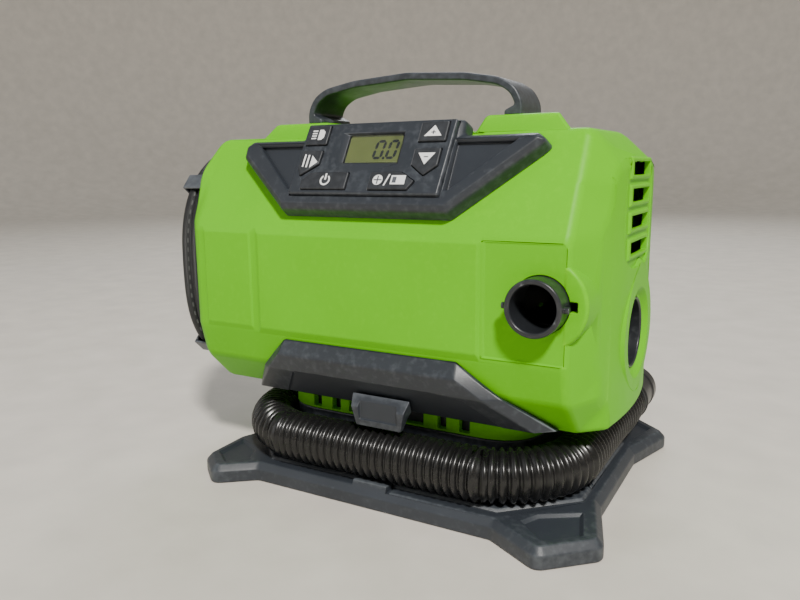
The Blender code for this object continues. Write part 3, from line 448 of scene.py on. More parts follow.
def bevel(target, width, segments=3, angle=30.0, clamp=False):
    step = target.modifiers.new("bevel", "BEVEL")
    step.width = width * MM
    step.segments = segments
    step.limit_method = "ANGLE"
    step.angle_limit = math.radians(angle)
    step.use_clamp_overlap = clamp
    step.miter_outer = "MITER_ARC"
    return target


def change(target, tools, operation="DIFFERENCE"):
    for tool in tools:
        step = target.modifiers.new("boolean", "BOOLEAN")
        step.operation = operation
        step.solver = "MANIFOLD"
        step.object = tool
        tool.hide_render = True
        tool["is_tool"] = 1
    return target


def split_faces(target):
    """Splits the many-sided faces that Booleans leave, so that a bevel's overlaps stay small."""
    step = target.modifiers.new("split", "TRIANGULATE")
    step.min_vertices = 5
    return target


def settle(target, sharp=None):
    """Applies the modifiers and shades the mesh smooth, with large faces kept flat."""
    if sharp is None:
        weigh = target.modifiers.new("weigh", "WEIGHTED_NORMAL")
        weigh.weight = 80
    target.data.shade_smooth()
    bpy.context.view_layer.update()
    graph = bpy.context.evaluated_depsgraph_get()
    mesh = bpy.data.meshes.new_from_object(target.evaluated_get(graph))
    target.modifiers.clear()
    target.data = mesh
    if sharp is not None:
        mesh.shade_smooth()
        mesh.set_sharp_from_angle(angle=math.radians(sharp))
    return target


def drop_tools():
    for made in list(bpy.data.objects):
        if made.get("is_tool"):
            bpy.data.objects.remove(made)


def piece(made, slot, *stands_for, body="inflator", finish=None):
    """Gives the piece its material and its body, and hides the CAD nodes that it stands for."""
    made.data.materials.clear()
    made.data.materials.append(MATERIALS[finish or slot])
    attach(made, body)
    if stands_for:
        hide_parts(*stands_for)
    return made


def complete(made, edge, *names, **rides):
    """Rounds the edges, applies the modifiers and passes the piece on to piece()."""
    bevel(made, *edge)
    settle(made)
    return piece(made, *names, **rides)


def moulded(node, slot, width, body="inflator", finish=None, angle=28.0, segments=2):
    """The CAD node's own shape with its edges rounded."""
    shape = bmesh.new()
    shape.from_mesh(nodes[node].data)
    bmesh.ops.remove_doubles(shape, verts=shape.verts, dist=1.5e-5)
    bmesh.ops.dissolve_limit(shape, angle_limit=math.radians(0.6), verts=shape.verts, edges=shape.edges)
    mesh = bpy.data.meshes.new(node + "_moulded")
    shape.to_mesh(mesh)
    shape.free()
    made = bpy.data.objects.new(node + "_moulded", mesh)
    bpy.context.scene.collection.objects.link(made)
    return complete(made, (width, segments, angle, True), slot, node, body=body, finish=finish)


# Hoses


def smooth_path(points, spacing):
    """The route resampled at an even spacing on a curve through its points."""
    dense = []
    count = len(points)
    for i in range(count - 1):
        p0 = Vector(points[max(i - 1, 0)])
        p1, p2 = Vector(points[i]), Vector(points[i + 1])
        p3 = Vector(points[min(i + 2, count - 1)])
        for step in range(24):
            t = step / 24
            a = 2 * p1
            b = (p2 - p0) * t
            c = (2 * p0 - 5 * p1 + 4 * p2 - p3) * t * t
            d = (3 * p1 - p0 - 3 * p2 + p3) * t * t * t
            dense.append((a + b + c + d) / 2)
    dense.append(Vector(points[-1]))
    gone = [0.0]
    for first, second in zip(dense, dense[1:]):
        gone.append(gone[-1] + (second - first).length)
    total = gone[-1]
    steps = max(2, round(total / spacing))
    path, at = [], 0
    for i in range(steps + 1):
        want = total * i / steps
        while at < len(gone) - 2 and gone[at + 1] < want:
            at += 1
        span = gone[at + 1] - gone[at]
        share = (want - gone[at]) / span if span else 0
        path.append(dense[at].lerp(dense[at + 1], share))
    return path, total


def hose_mesh(name, path, radius_at, sides):
    """A tube of rings along the path, with UV round it and along it."""
    shape = bmesh.new()
    uv = shape.loops.layers.uv.new("UVMap")
    rings = []
    normal = None
    gone = [0.0]
    for i, point in enumerate(path):
        way = (path[min(i + 1, len(path) - 1)] - path[max(i - 1, 0)]).normalized()
        if normal is None:
            normal = way.orthogonal().normalized()
        else:
            normal = (normal - way * normal.dot(way)).normalized()
            gone.append(gone[-1] + (point - path[i - 1]).length)
        side = way.cross(normal)
        radius = radius_at(i)
        ring = []
        for k in range(sides):
            angle = math.tau * k / sides
            ring.append(shape.verts.new(point + radius * (math.cos(angle) * normal + math.sin(angle) * side)))
        rings.append(ring)
    reach = math.tau * radius_at(0)
    for i in range(len(rings) - 1):
        for k in range(sides):
            j = (k + 1) % sides
            face = shape.faces.new((rings[i][k], rings[i][j], rings[i + 1][j], rings[i + 1][k]))
            for loop, (a, b) in zip(face.loops, ((k, i), (k + 1, i), (k + 1, i + 1), (k, i + 1))):
                loop[uv].uv = (a / sides, gone[b] / reach)
    shape.faces.new(rings[0])
    shape.faces.new(rings[-1])
    made = stored(name, shape)
    made.data.shade_smooth()
    return made


def air_hose_route():
    """Once round the neck, from the cuff at the right rear to the cuff on the rear side."""
    half_x, half_y, ring, z = 111, 84, 52, 31
    route = [(half_x + 2, 84, 33.5), (half_x + 2, 62, 31.8), (half_x + 0.6, 40, z), (half_x, 12, z)]
    for centre_x, centre_y, start in (
        (half_x - ring, ring - half_y, 0),
        (ring - half_x, ring - half_y, 270),
        (ring - half_x, half_y - ring, 180),
    ):
        for step in range(8):
            angle = math.radians(start - step * 90 / 7)
            route.append((centre_x + ring * math.cos(angle), centre_y + ring * math.sin(angle), z))
    return route + [(-40, half_y, z), (-15, half_y, z), (12, half_y, z), (38, half_y, z)]


def make_air_hose():
    pitch, rings = 5.4, 9
    path, total = smooth_path(air_hose_route(), pitch / rings)

    def rib(i):
        share = (i % rings) / rings
        crest = 0.5 - 0.5 * math.cos(math.tau * share)
        return 13.4 + 2.8 * crest**0.55

    hose = hose_mesh("air_hose_ribbed", path, rib, 56)
    piece(hose, "black_plastic", "air_hose", finish="hose_plastic")
    tilt = math.atan2(1.7, 22)
    across, along = (0, math.sin(tilt), -math.cos(tilt)), (0, math.cos(tilt), math.sin(tilt))
    first = plane((113, 84.4, 33.5), (1, 0, 0), across, along)
    second = plane((38.4, 84, 32), (0, 1, 0), (0, 0, 1), (1, 0, 0))
    for node, place in (("cuff_end", first), ("cuff_start", second)):
        profile = [(12.6, 0.6), (16.2, 0.6), (16.2, 3.2), (17.2, 3.8), (17.2, 6.4), (16.4, 7.2), (16.4, 24)]
        profile += [(17.3, 25), (17.3, 33.4), (16.4, 34.6), (14.6, 34.6), (13.9, 33), (13.9, 12), (12.6, 10)]
        cuff = turned(node + "_turned", [(r, w) for r, w in reversed(profile)], (0, 0), place)
        bevel(cuff, 0.4, 2)
        settle(cuff)
        piece(cuff, "black_plastic", node)


SPOOL_HALF, SPOOL_MID_Z = (74.5, 78), 143
SPOOL_POWER = (3, 2.4)  # how square the oval is below and above its middle
STRAND_X = (-155.9, -164.5)
CHUCK_AXIS, CHUCK_Z = (-167.3, 78.9), 100.4


def power_point(angle, half_y, half_z):
    shape = 2 / SPOOL_POWER[math.sin(angle) > 0]
    y = -half_y * math.copysign(abs(math.cos(angle)) ** shape, math.cos(angle))
    z = half_z * math.copysign(abs(math.sin(angle)) ** shape, math.sin(angle))
    return y, SPOOL_MID_Z + z


def pressure_hose_route():
    route = [(STRAND_X[0], 20.5, 203), (STRAND_X[0], 8, 204), (STRAND_X[0], -8, 208.5)]
    for angle in range(66, -450, -12):
        y, z = power_point(math.radians(angle), *SPOOL_HALF)
        share = min(max((-190 - angle) / 72, 0), 1)
        share = share * share * (3 - 2 * share)
        route.append((STRAND_X[0] + (STRAND_X[1] - STRAND_X[0]) * share, y, z))
    bend = 34.8
    middle_y, middle_z = CHUCK_AXIS[1] - bend, CHUCK_Z - 1.2
    for share, angle in ((0, -90), (0.2, -72), (0.4, -54), (0.6, -36), (0.8, -18), (1, 0)):
        at = math.radians(angle)
        x = STRAND_X[1] + (CHUCK_AXIS[0] - STRAND_X[1]) * share
        route.append((x, middle_y + bend * math.cos(at), middle_z + bend * math.sin(at)))
    return route


def make_chuck():
    axis, low = CHUCK_AXIS, CHUCK_Z
    profile = [(0.01, 0), (4.4, 0), (5, 1.2), (5, 3), (4.6, 4), (4.6, 6), (5.2, 7), (5.2, 20)]
    profile += [(4.9, 21), (4.9, 24), (6.2, 26), (6.4, 28), (6.4, 42)]
    profile += [(5.6, 44.6), (3.2, 44.8), (3, 38), (0.01, 38)]
    body = turned("chuck_body_turned", [(r, z + low) for r, z in profile], axis, TOP, sides=40)
    ears = []
    for inner, outer in ((-5.6, -3.6), (3.6, 5.6)):
        corner = (axis[0] + inner, axis[1], low + 39.4)
        ears.append(box("ear", corner, (axis[0] + outer, axis[1] + 10.3, low + 44.5)))
    change(body, ears, "UNION")
    complete(body, (0.25, 2, 35), "brass", "chuck_body")
    lever = moulded("chuck_lever", "dark_plastic", 0.8, body="chuck_lever")
    return body, lever


def make_pressure_hose():
    path, total = smooth_path(pressure_hose_route(), 3.0)
    hose = hose_mesh("pressure_hose_braided", path, lambda i: 4.2, 24)
    piece(hose, "hose_rubber", "pressure_hose")
    chuck, lever = make_chuck()


make_camera()
make_materials()
make_stage()
make_lights()
make_air_hose()
make_pressure_hose()


# Base and neck


def make_base():
    right = [(82, -100), (115, -119), (144, -92), (130.5, -45.5)]
    left = [(-86, -100), (-110, -119), (-131, -102), (-133, -66), (-126, -46)]
    right += [(x, -y) for x, y in reversed(right)]
    left += [(x, -y) for x, y in reversed(left)]
    outline = right + left[::-1]
    heights = [(1.2, 0), (0.3, 0.5), (0, 1.4), (0, 7.5), (0.25, 8.3), (0.8, 9.1)]
    heights += [(3.2, 11.7), (3.9, 12.3), (4.8, 12.5)]
    rings = [[(x, y, z) for x, y in inset_ring(outline, inset, 8, 5)] for inset, z in heights]
    base = loft("base_moulded", rings)
    hub = [(82, -90), (122, -52), (122, 52), (82, 90), (-82, 90), (-122, 52), (-122, -52), (-82, -90)]
    rings = [[(x, y, z) for x, y in offset(hub, inset)] for inset, z in ((0, 9), (0, 12.6), (1.8, 14.4))]
    raised = loft("hub", rings)
    change(base, [raised], "UNION")
    tools = []
    right_recess = [(97, -92), (115, -107), (132, -92), (125, -66), (103, -80)]
    left_recess = [(-97, -94), (-109, -107), (-124, -96), (-125, -70), (-106, -78)]
    for recess, turn in ((right_recess, 1), (left_recess, -1)):
        for flip in (1, -1):
            pocket = [(x, y * flip) for x, y in recess]
            if flip * turn < 0:
                pocket.reverse()
            deep, wide = offset(pocket, 1.6), offset(pocket, -1.2)
            rings = [[(x, y, 10.4) for x, y in deep], [(x, y, 13.4) for x, y in wide]]
            tools.append(loft("pocket", rings))
    for x in (122, -111.7):
        for y in (-97.6, 97.6):
            tools.append(plate("pad_pocket", circle(9.3, (x, y)), -5, 3.3))
    block = loft(
        "front_block",
        [
            [(x, -97.4, 10), (x, -96.2, 15.4), (x, -94.8, 15.8), (x, -88.5, 14.4), (x, -86, 10)]
            for x in (-12, 12)
        ],
    )
    change(base, [block], "UNION")
    tools.append(box("block_slot", (12.0, -96.6, 11.2), (14.2, -87, 20)))
    for shift in (0, 4.2):
        slit = plane((119.6, -33.5, 0), (0.76, -0.65, 0), (0.65, 0.76, 0), (0, 0, 1))
        tools.append(box("slit", (-8, -0.5 + shift, 13.2), (8, 0.5 + shift, 16), slit))
    change(base, tools)
    complete(base, (0.45, 2, 32), "dark_plastic", "base_plate", finish="base_plastic")
    for end in ("front", "rear"):
        for side in ("left", "right"):
            moulded(f"foot_pad_{end}_{side}", "rubber", 0.5)


def rectangle(half_x, half_y):
    return [(half_x, -half_y), (half_x, half_y), (-half_x, half_y), (-half_x, -half_y)]


def make_neck():
    """Lime blocks hang from the case round a dark collar."""
    collar = plate("neck_blocks", rounded(rectangle(92, 65), 34, 10), 45.2, 56.7, inset=0.8)
    tools = [plate("hollow", rounded(rectangle(86.6, 59.6), 29, 10), 30, 70)]
    for low, high in [(-63.5, -57), (-48, -41.5), (-34.5, 21.5), (31.5, 37.5), (46.5, 53.5)]:
        for front, back in ((-70, -55), (55, 70)):
            tools.append(box("gap", (low, front, 46.6), (high, back, 60)))
    change(collar, tools)
    complete(collar, (0.5, 2, 30), "lime_plastic", "neck_collar")
    core = plate("neck_core", rounded(rectangle(91.4, 64.4), 33.4, 10), 14.7, 44.9, inset=0.8)
    change(core, [plate("upper", rounded(rectangle(86.3, 59.3), 28.7, 10), 40, 56.4)], "UNION")
    change(core, [box("hollow", (-80, -50, 10), (80, 50, 50))])
    complete(core, (0.5, 2, 30), "dark_plastic")


# Case

WALL = 2.8
OUTLET, INLET = (104.5, 135.5), (4, 105)  # the front port's (x, z) and the end port's (y, z)
VENT_MIDDLES = (206, 190.5, 175, 159.5)
DOCK_HALF_X, DOCK_LOW_Z = 52.8, 83.7  # the battery dock's opening in the rear shell and skirt
SECTION_LEFT = [(-54, 62), (-75, 82), (-80, 104), (-80, 176), (-72.5, 203.5), (-52, 222)]
SECTION_MAIN = [(-62, 57), (-84, 79), (-90, 102), (-90, 169), (-72.7, 199), (-56, 228)]
SECTION_RIGHT = [(-52, 57), (-65, 80), (-68, 102), (-68, 172), (-57.5, 199), (-40, 217)]


def mirrored(half):
    return half + [(-y, z) for y, z in reversed(half)]


def case_ring(x, half, inset=0.0):
    return [(x, y, z) for y, z in offset(mirrored(half), -inset)]


def case_form(name, inset):
    """The outer form of the case, or its hollow when inset; its right end is cut by a wide upright curve."""
    far = [(2 * b[0] - a[0], 2 * b[1] - a[1]) for a, b in zip(SECTION_MAIN, SECTION_RIGHT)]
    rings = [
        case_ring(-151 + inset, SECTION_LEFT, inset),
        case_ring(-141, SECTION_MAIN, inset),
        case_ring(119, SECTION_MAIN, inset),
        case_ring(139, far, inset),
    ]
    made = loft(name, rings)
    reach = 300
    outline = []
    for i in range(41):
        angle = math.radians(-20 + i)
        outline.append((137 - inset * 1.45 - reach + reach * math.cos(angle), reach * math.sin(angle)))
    outline += [(-200, 120), (-200, -120)]
    change(made, [plate("end_curve", outline, 20, 260)], "INTERSECT")
    out = Vector((0.68, 0.115, 0.73)).normalized()
    back = (Vector((0, 1, 0)) - out * out.y).normalized()
    slope = plane((119.4, 0, 229), back.cross(out), back, out)
    change(made, [box("corner_slope", (-90, -150, -inset), (90, 150, 60), slope)])
    settle(made, 15)
    return made


def inlet_rim():
    """The pointed raised rim round the end port."""
    outline = []
    for i in range(36):
        angle = math.tau * i / 36
        y, z = math.cos(angle), math.sin(angle)
        tall = 46 if z > 0 else 41
        outline.append((4 + 40 * y * (1 - 0.28 * abs(z) ** 2.2), 106 + tall * z))
    return outline


def port_boss():
    return bevel(plate("boss", circle(25.6, OUTLET, 64), 60, 89.6, FRONT), 2.2, 4, 40)


def inset_ring(outline, distance, radius, steps=4):
    """The outline moved inwards and then rounded, so that rings at any inset match point for point."""
    return rounded(offset(outline, distance), max(radius - distance, 0.4), steps)


def case_tools():
    pad_foot = [(48, -57, 222), (113, -57, 222), (76, 28, 222), (48, 28, 222)]
    pad_top = [(56, -51, 237), (100, -51, 237), (66, 20, 237), (56, 20, 237)]
    wide_panel = frustum("logo_panel", (-93, 96, 73, 173), (-85.5, 104.5, 68.5, 166.5), 87.6, 91.3, FRONT)
    low, high = (-137, 96, -89.5, 173), (-132, 105, -93.5, 166.5)
    end_panel = frustum("end_panel_left", low, high, 87.6, 90.9, FRONT)
    added = [
        bevel(frustum("pad_left", (-113, -57, -48, 57), (-98, -51, -56, 51), 222, 237), 2.2, 4, 20),
        bevel(loft("pad_right", [pad_foot, pad_top]), 2.2, 4, 20),
        port_boss(),
        bevel(wide_panel, 0.8, 3, 10),
        bevel(end_panel, 0.5, 3, 10),
    ]
    taken = [case_form("hollow", WALL)]
    taken.append(turned("outlet_hole", oblong(0.01, 50, 15.9, 110), OUTLET, FRONT))
    taken.append(frustum("port_panel", (73, 104, 117, 167), (68, 99.5, 126, 172.5), 89.2, 92, FRONT))
    taken.append(plate("inlet_hole", circle(22.7, INLET, 64), 111, 152, SIDE))
    taken.append(box("lug_notch", (119.8, 132.8, 70), (124.4, 138.3, 95), FRONT))
    taken.append(box("gland_hole", (-160, 16, 195), (-145, 34, 211)))
    opening = oblong(-50, 23, 40, 55)
    taken.append(plate("console_opening", opening, -30, -10, CONSOLE))
    for middle in VENT_MIDDLES:
        taken.append(box("vent", (120, -25, middle - 3.9), (145, 20, middle + 3.9)))
    return added, taken


def make_vents():
    """Raised frames round the vents."""
    frames = []
    for middle in VENT_MIDDLES:
        outer = oblong(-28.5, middle - 6.4, 23, middle + 6.4)
        low, high = 126, 136.1
        frames.append(plate("vent_frame", outer, low, high, SIDE, inset=0.9))
    return frames


def make_case():
    added, taken = case_tools()
    rim = plate("inlet_rim", inlet_rim(), 120, 137.0, SIDE, inset=2.4)
    dish_profile = [(0.01, 133.6), (24.5, 133.6), (31, 139), (0.01, 139)]
    dish = turned("inlet_dish", dish_profile, INLET, SIDE)
    recess = plate("vent_recess", rounded(oblong(-36, 148, 31, 213), 22, 8), 134.5, 142, SIDE)
    frames = make_vents()
    behind = box("behind", (-200, 39.85, 0), (200, 200, 300))
    ahead = box("ahead", (-200, -200, 0), (200, 40.15, 300))

    front = case_form("front_shell_moulded", 0)
    bevel(front, 3.4, 5, 12)
    change(front, added, "UNION")
    change(front, [recess])
    change(front, [rim, *frames], "UNION")
    change(front, [dish, *taken, behind])
    split_faces(front)
    complete(front, (0.45, 2, 36), "lime_plastic", "front_shell")

    rear = case_form("rear_shell_moulded", 0)
    bevel(rear, 3.4, 5, 12)
    change(rear, added[:2], "UNION")
    change(rear, [recess])
    change(rear, [rim, *frames], "UNION")
    opening = box("dock_opening", (-DOCK_HALF_X, 49.7, DOCK_LOW_Z), (DOCK_HALF_X, 120, 260))
    vents = taken[-4:]
    change(rear, [taken[0], dish, taken[3], *vents, ahead, opening])
    for x, z in ((-110, 112), (100, 112), (-110, 156), (100, 156)):
        change(rear, [plate("screw_hole", circle(4.2, (x, z), 32), -95, -70, FRONT)])
    split_faces(rear)
    complete(rear, (0.45, 2, 36), "lime_plastic", "rear_shell")


# Skirts and tab

SKIRT_OUTER = [(-90.2, 98.4), (-95.8, 89.5), (-92.5, 78.5), (-86.5, 70), (-79, 59.6)]
SKIRT_INNER = [(-89.6, 98.4), (-87.2, 89.5), (-84.8, 79.3), (-76, 70.4), (-65.1, 59.6)]


def skirt_ends(z):
    share = (99.5 - z) / 42.5
    return -66 - 41.5 * share, 54 + 60 * share


def make_skirt(name, node, turn):
    rings = []
    for (yo, zo), (yi, zi) in zip(SKIRT_OUTER, SKIRT_INNER):
        left, right = skirt_ends(zo)
        inner_left, inner_right = skirt_ends(zi)
        low = Vector((yi, zi)).lerp(Vector((yo, zo)), 0.35)
        ring = [
            (inner_left, yi, zi),
            (left, low.x, low.y),
            (left + 7, yo, zo),
            (right - 11, yo, zo),
            (right, low.x, low.y),
            (inner_right, yi, zi),
        ]
        rings.append(ring)
    skirt = loft(name, rings)
    bevel(skirt, 1.0, 3, 14)
    below = [(-110, 54.8), (-74.5, 54.8), (-78.3, 60.1), (-85.8, 70.5), (-91.8, 79), (-95.4, 84), (-110, 84)]
    panel = plate("skirt_panel", below, -120, 120, SIDE)
    front = [(-82, 50), (-60, 77.4), (-57, 78.4), (40, 78.4), (60, 76.4), (92, 50)]
    change(panel, [plate("panel_outline", rounded(front, 4, 3), 60, 120, FRONT)], "INTERSECT")
    settle(panel)
    change(skirt, [panel])
    if turn:
        settle(skirt)
        skirt.data.transform(Matrix.Rotation(math.pi, 4, "Z"))
        change(skirt, [box("dock_gap", (-DOCK_HALF_X, 40, DOCK_LOW_Z), (DOCK_HALF_X, 120, 260))])
    return complete(skirt, (0.4, 2, 40), "dark_plastic", node)


def make_tab():
    section = [(-90.4, 49.7), (-92.4, 62), (-87.4, 69.4), (-80.8, 60.4), (-83.5, 58.4), (-87.3, 49.7)]
    rings = []
    for x, share in ((-16.6, 0), (24.4, 1)):
        ring = []
        for y, z in section:
            lean = (70 - z) / 20 * 4.2
            ring.append((x + lean if share == 0 else x - lean * 1.2, y, z))
        rings.append(ring)
    tab = loft("hose_tab_moulded", rings)
    window = frustum("tab_window", (-9.5, 54.2, 16.5, 70), (-11.5, 53.2, 18.5, 72), 89.9, 96, FRONT)
    change(tab, [window])
    complete(tab, (0.6, 3, 25), "dark_plastic", "hose_tab")


# Console

BUTTONS = {
    "light_button": oblong(-55.5, 46.6, -38.7, 60.6),
    "start_button": [(-55.5, 30.5), (-52.5, 25), (-40, 33.2), (-39.6, 43.2), (-55.5, 43.2)],
    "power_button": [(-49.5, 16), (-16.2, 16), (-16.2, 28), (-43.8, 28), (-50.5, 22.5)],
    "mode_button": [(-1.2, 16), (25.4, 16), (29.4, 22), (19.5, 28), (-1.2, 28)],
    "up_button": oblong(24.4, 47, 42.7, 60.6),
    "down_button": [(24, 32), (33.5, 25), (41.6, 31.6), (41.6, 43.2), (24, 43.2)],
}
LCD_WINDOW = oblong(-24.4, 35.2, 13.2, 53.8)
BUTTON_FACE = 2.9


def icon_strokes():
    """White marks for each button, as closed outlines in the console's plane."""
    marks = {
        "up_button": [[(28.2, 50.5), (39.4, 50.5), (33.8, 57.6)]],
        "down_button": [[(27.6, 39.6), (33.0, 32.0), (38.4, 39.6)]],
        "start_button": [
            [(-46.6, 30.6), (-41.4, 34.6), (-46.6, 39.2)],
            oblong(-49.6, 31.0, -48.4, 39.6),
            oblong(-52.4, 31.4, -51.2, 40.0),
        ],
        "light_button": [
            [(-46.6, 50.2), (-44, 50.2), (-42.2, 51.8), (-42.2, 55.8), (-44, 57.4), (-46.6, 57.4)],
        ],
        "mode_button": [oblong(14, 19.4, 23.4, 25.2), [(9.6, 18.6), (10.6, 18.6), (13, 26), (12, 26)]],
        "power_button": [oblong(-32.5, 22.4, -31.3, 26.6)],
    }
    for i in range(4):
        v = 50.9 + i * 1.75
        marks["light_button"].append(oblong(-51.6, v, -48, v + 0.9))
    ring = []
    for i in range(25):
        angle = math.radians(125 + i * 290 / 24)
        ring.append((-31.9 + 3.6 * math.cos(angle), 22.2 + 3.6 * math.sin(angle)))
    for i in range(24, -1, -1):
        angle = math.radians(125 + i * 290 / 24)
        ring.append((-31.9 + 2.5 * math.cos(angle), 22.2 + 2.5 * math.sin(angle)))
    marks["power_button"].append(ring)
    marks["mode_button"].append(circle(3.3, (5.2, 22.3), 24))
    return marks


def minus_marks():
    """Dark details inside the white marks."""
    return {
        "up_button": [oblong(32.4, 52.6, 35.2, 53.3), oblong(33.45, 51.6, 34.15, 54.3)],
        "down_button": [oblong(31.6, 36.6, 34.4, 37.3)],
        "mode_button": [
            oblong(15, 20.4, 17.6, 24.2),
            oblong(4.7, 19.6, 5.6, 25),
            oblong(2.5, 21.9, 7.9, 22.7),
        ],
    }


def flat_marks(name, outlines, low, high):
    shape = bmesh.new()
    for outline in outlines:
        floor = [shape.verts.new((u, v, low)) for u, v in outline]
        roof = [shape.verts.new((u, v, high)) for u, v in outline]
        shape.faces.new(floor)
        shape.faces.new(roof)
        for i in range(len(outline)):
            j = (i + 1) % len(outline)
            shape.faces.new((floor[i], floor[j], roof[j], roof[i]))
    made = stored(name, shape, CONSOLE)
    return made


def digit_segments(u, v, slant):
    """The six bars of a slanted zero."""
    wide, tall, thick = 5.2, 11.2, 1.75
    bars = [
        ((0.2, 0), (wide - 0.2, 0), 0),
        ((0.2, tall), (wide - 0.2, tall), 0),
        ((0, 0.3), (0, tall / 2 - 0.3), 1),
        ((0, tall / 2 + 0.3), (0, tall - 0.3), 1),
        ((wide, 0.3), (wide, tall / 2 - 0.3), 1),
        ((wide, tall / 2 + 0.3), (wide, tall - 0.3), 1),
    ]
    outlines = []
    half = thick / 2
    for (u0, v0), (u1, v1), upright in bars:
        if upright:
            points = [(u0, v0), (u0 + half, v0 + half), (u0 + half, v1 - half)]
            points += [(u0, v1), (u0 - half, v1 - half), (u0 - half, v0 + half)]
        else:
            points = [(u0, v0), (u0 + half, v0 - half), (u1 - half, v0 - half)]
            points += [(u1, v0), (u1 - half, v0 + half), (u0 + half, v0 + half)]
        outlines.append([(u + a + b * slant, v + b) for a, b in points])
    return outlines


def make_console():
    rim = [
        (-64, 6), (50, 6), (95.5, 46.6), (99, 50.4), (94, 54.4), (50, 54), (49, 64.6),
        (-60, 64.6), (-61, 54), (-103, 54), (-108, 50), (-107, 42),
    ]
    heights = [(-1.4, -12.1), (-0.7, -6), (-0.3, -4.2), (0.2, -3.3)]
    heights += [(0.9, -2.5), (2.4, -1.4), (2.9, -1.1), (3.6, -1)]
    rings = [[(u, v, w) for u, v in inset_ring(rim, inset, 3)] for inset, w in heights]
    bezel = loft("control_bezel_moulded", rings, CONSOLE)
    panel = [(-58.5, 13.8), (45, 13.8), (46.5, 62.5), (-57.5, 62.5)]
    tools = []
    left_wing = [(-98, 50.6), (-62.5, 17.5), (-58, 17.5), (-58, 50.6)]
    right_wing = [(46, 50.6), (46, 17.5), (49.5, 17.5), (86, 50.6)]
    for outline, low in ((left_wing, -4.6), (right_wing, -4.6)):
        tools.append(plate("wing", offset(outline, 1.4), low, -2.4, CONSOLE))
        upper = loft(
            "wing",
            [[(u, v, -2.5) for u, v in offset(outline, 1.4)], [(u, v, 1) for u, v in offset(outline, -1.2)]],
            CONSOLE,
        )
        tools.append(upper)
    tools.append(plate("panel_seat", offset(panel, -0.3), -3.3, 9, CONSOLE))
    well = [(-56.6, 15.2), (43.6, 15.2), (44.6, 61.4), (-56.4, 61.4)]
    tools.append(plate("well", well, -6, 5, CONSOLE))
    tools.append(box("hollow", (-54, 17.5, -14), (42, 55, 5), CONSOLE))
    change(bezel, tools)
    split_faces(bezel)
    complete(bezel, (0.35, 2, 34), "dark_plastic", "control_bezel")

    face = plate("control_panel_moulded", rounded(panel, 1.6, 3), -3, 1.6, CONSOLE, inset=0.8)
    tools = [
        plate("lcd_hole", offset(rounded(LCD_WINDOW, 0.8, 3), -0.3), -8, 8, CONSOLE),
        frustum("lcd_slope", (-24.7, 34.9, 13.5, 54.1), (-29.2, 33.9, 14.5, 55.1), 0.2, 1.7, CONSOLE),
    ]
    for outline in BUTTONS.values():
        tools.append(plate("button_hole", rounded(outline, 0.9, 3), -8, 8, CONSOLE))
    change(face, tools)
    split_faces(face)
    complete(face, (0.3, 2, 34), "dark_plastic", "control_panel")

    white, dark = icon_strokes(), minus_marks()
    for name, outline in BUTTONS.items():
        cap = rounded(offset(outline, 0.4), 0.9, 3)
        button = plate(name + "_moulded", cap, -4.6, BUTTON_FACE, CONSOLE, inset=0.45)
        complete(button, (0.2, 2, 30), "button_plastic", name, body=name)
        mark = flat_marks(name + "_mark", white[name], BUTTON_FACE - 0.1, BUTTON_FACE + 0.03)
        piece(mark, "button_plastic", body=name, finish="print_white")
        if name in dark:
            inner = flat_marks(name + "_mark_dark", dark[name], BUTTON_FACE - 0.08, BUTTON_FACE + 0.06)
            piece(inner, "button_plastic", body=name)

    lens = plate("lcd_lens_moulded", offset(rounded(LCD_WINDOW, 0.8, 3), 0.3), -0.9, 0.4, CONSOLE)
    settle(lens)
    piece(lens, "clear_plastic", "lcd_lens")
    module = plate("lcd_module_moulded", offset(LCD_WINDOW, 0.3), -6.2, -1.3, CONSOLE)
    complete(module, (0.2, 2), "lcd_olive", "lcd_module")
    outlines = []
    for u in (-5.0, 4.0):
        outlines += digit_segments(u, 38.8, 0.12)
    outlines.append([(1.6, 37.9), (3.1, 37.9), (3.2, 39.5), (1.7, 39.5)])
    digits = flat_marks("lcd_digits", outlines, -1.35, -1.2)
    piece(digits, "lcd_olive", finish="ink")


def make_handle():
    middle, half = -4.5, [(77, 237.4), (77, 245.5), (72.5, 254), (63, 260), (40, 264), (0, 266.5)]
    corners = [(middle + x, z) for x, z in half] + [(middle - x, z) for x, z in reversed(half[:-1])]
    outer = [corners[0]] + rounded(corners, 60, 5)[6:-6] + [corners[-1]]
    inner = [(x, z) for x, z in offset(outer, 4.6) if z > 244.5]
    foot = [(middle + 66, 237.4), (middle + 66, 240.5), (middle + 72.4, 243.5)]
    outline = outer + [(2 * middle - x, z) for x, z in foot] + inner[::-1] + foot[::-1]
    strap = loft("carry_handle_moulded", [[(x, y, z) for x, z in outline] for y in (-37, -1)])
    complete(strap, (1.2, 3, 24), "dark_plastic", "carry_handle")


# Ports


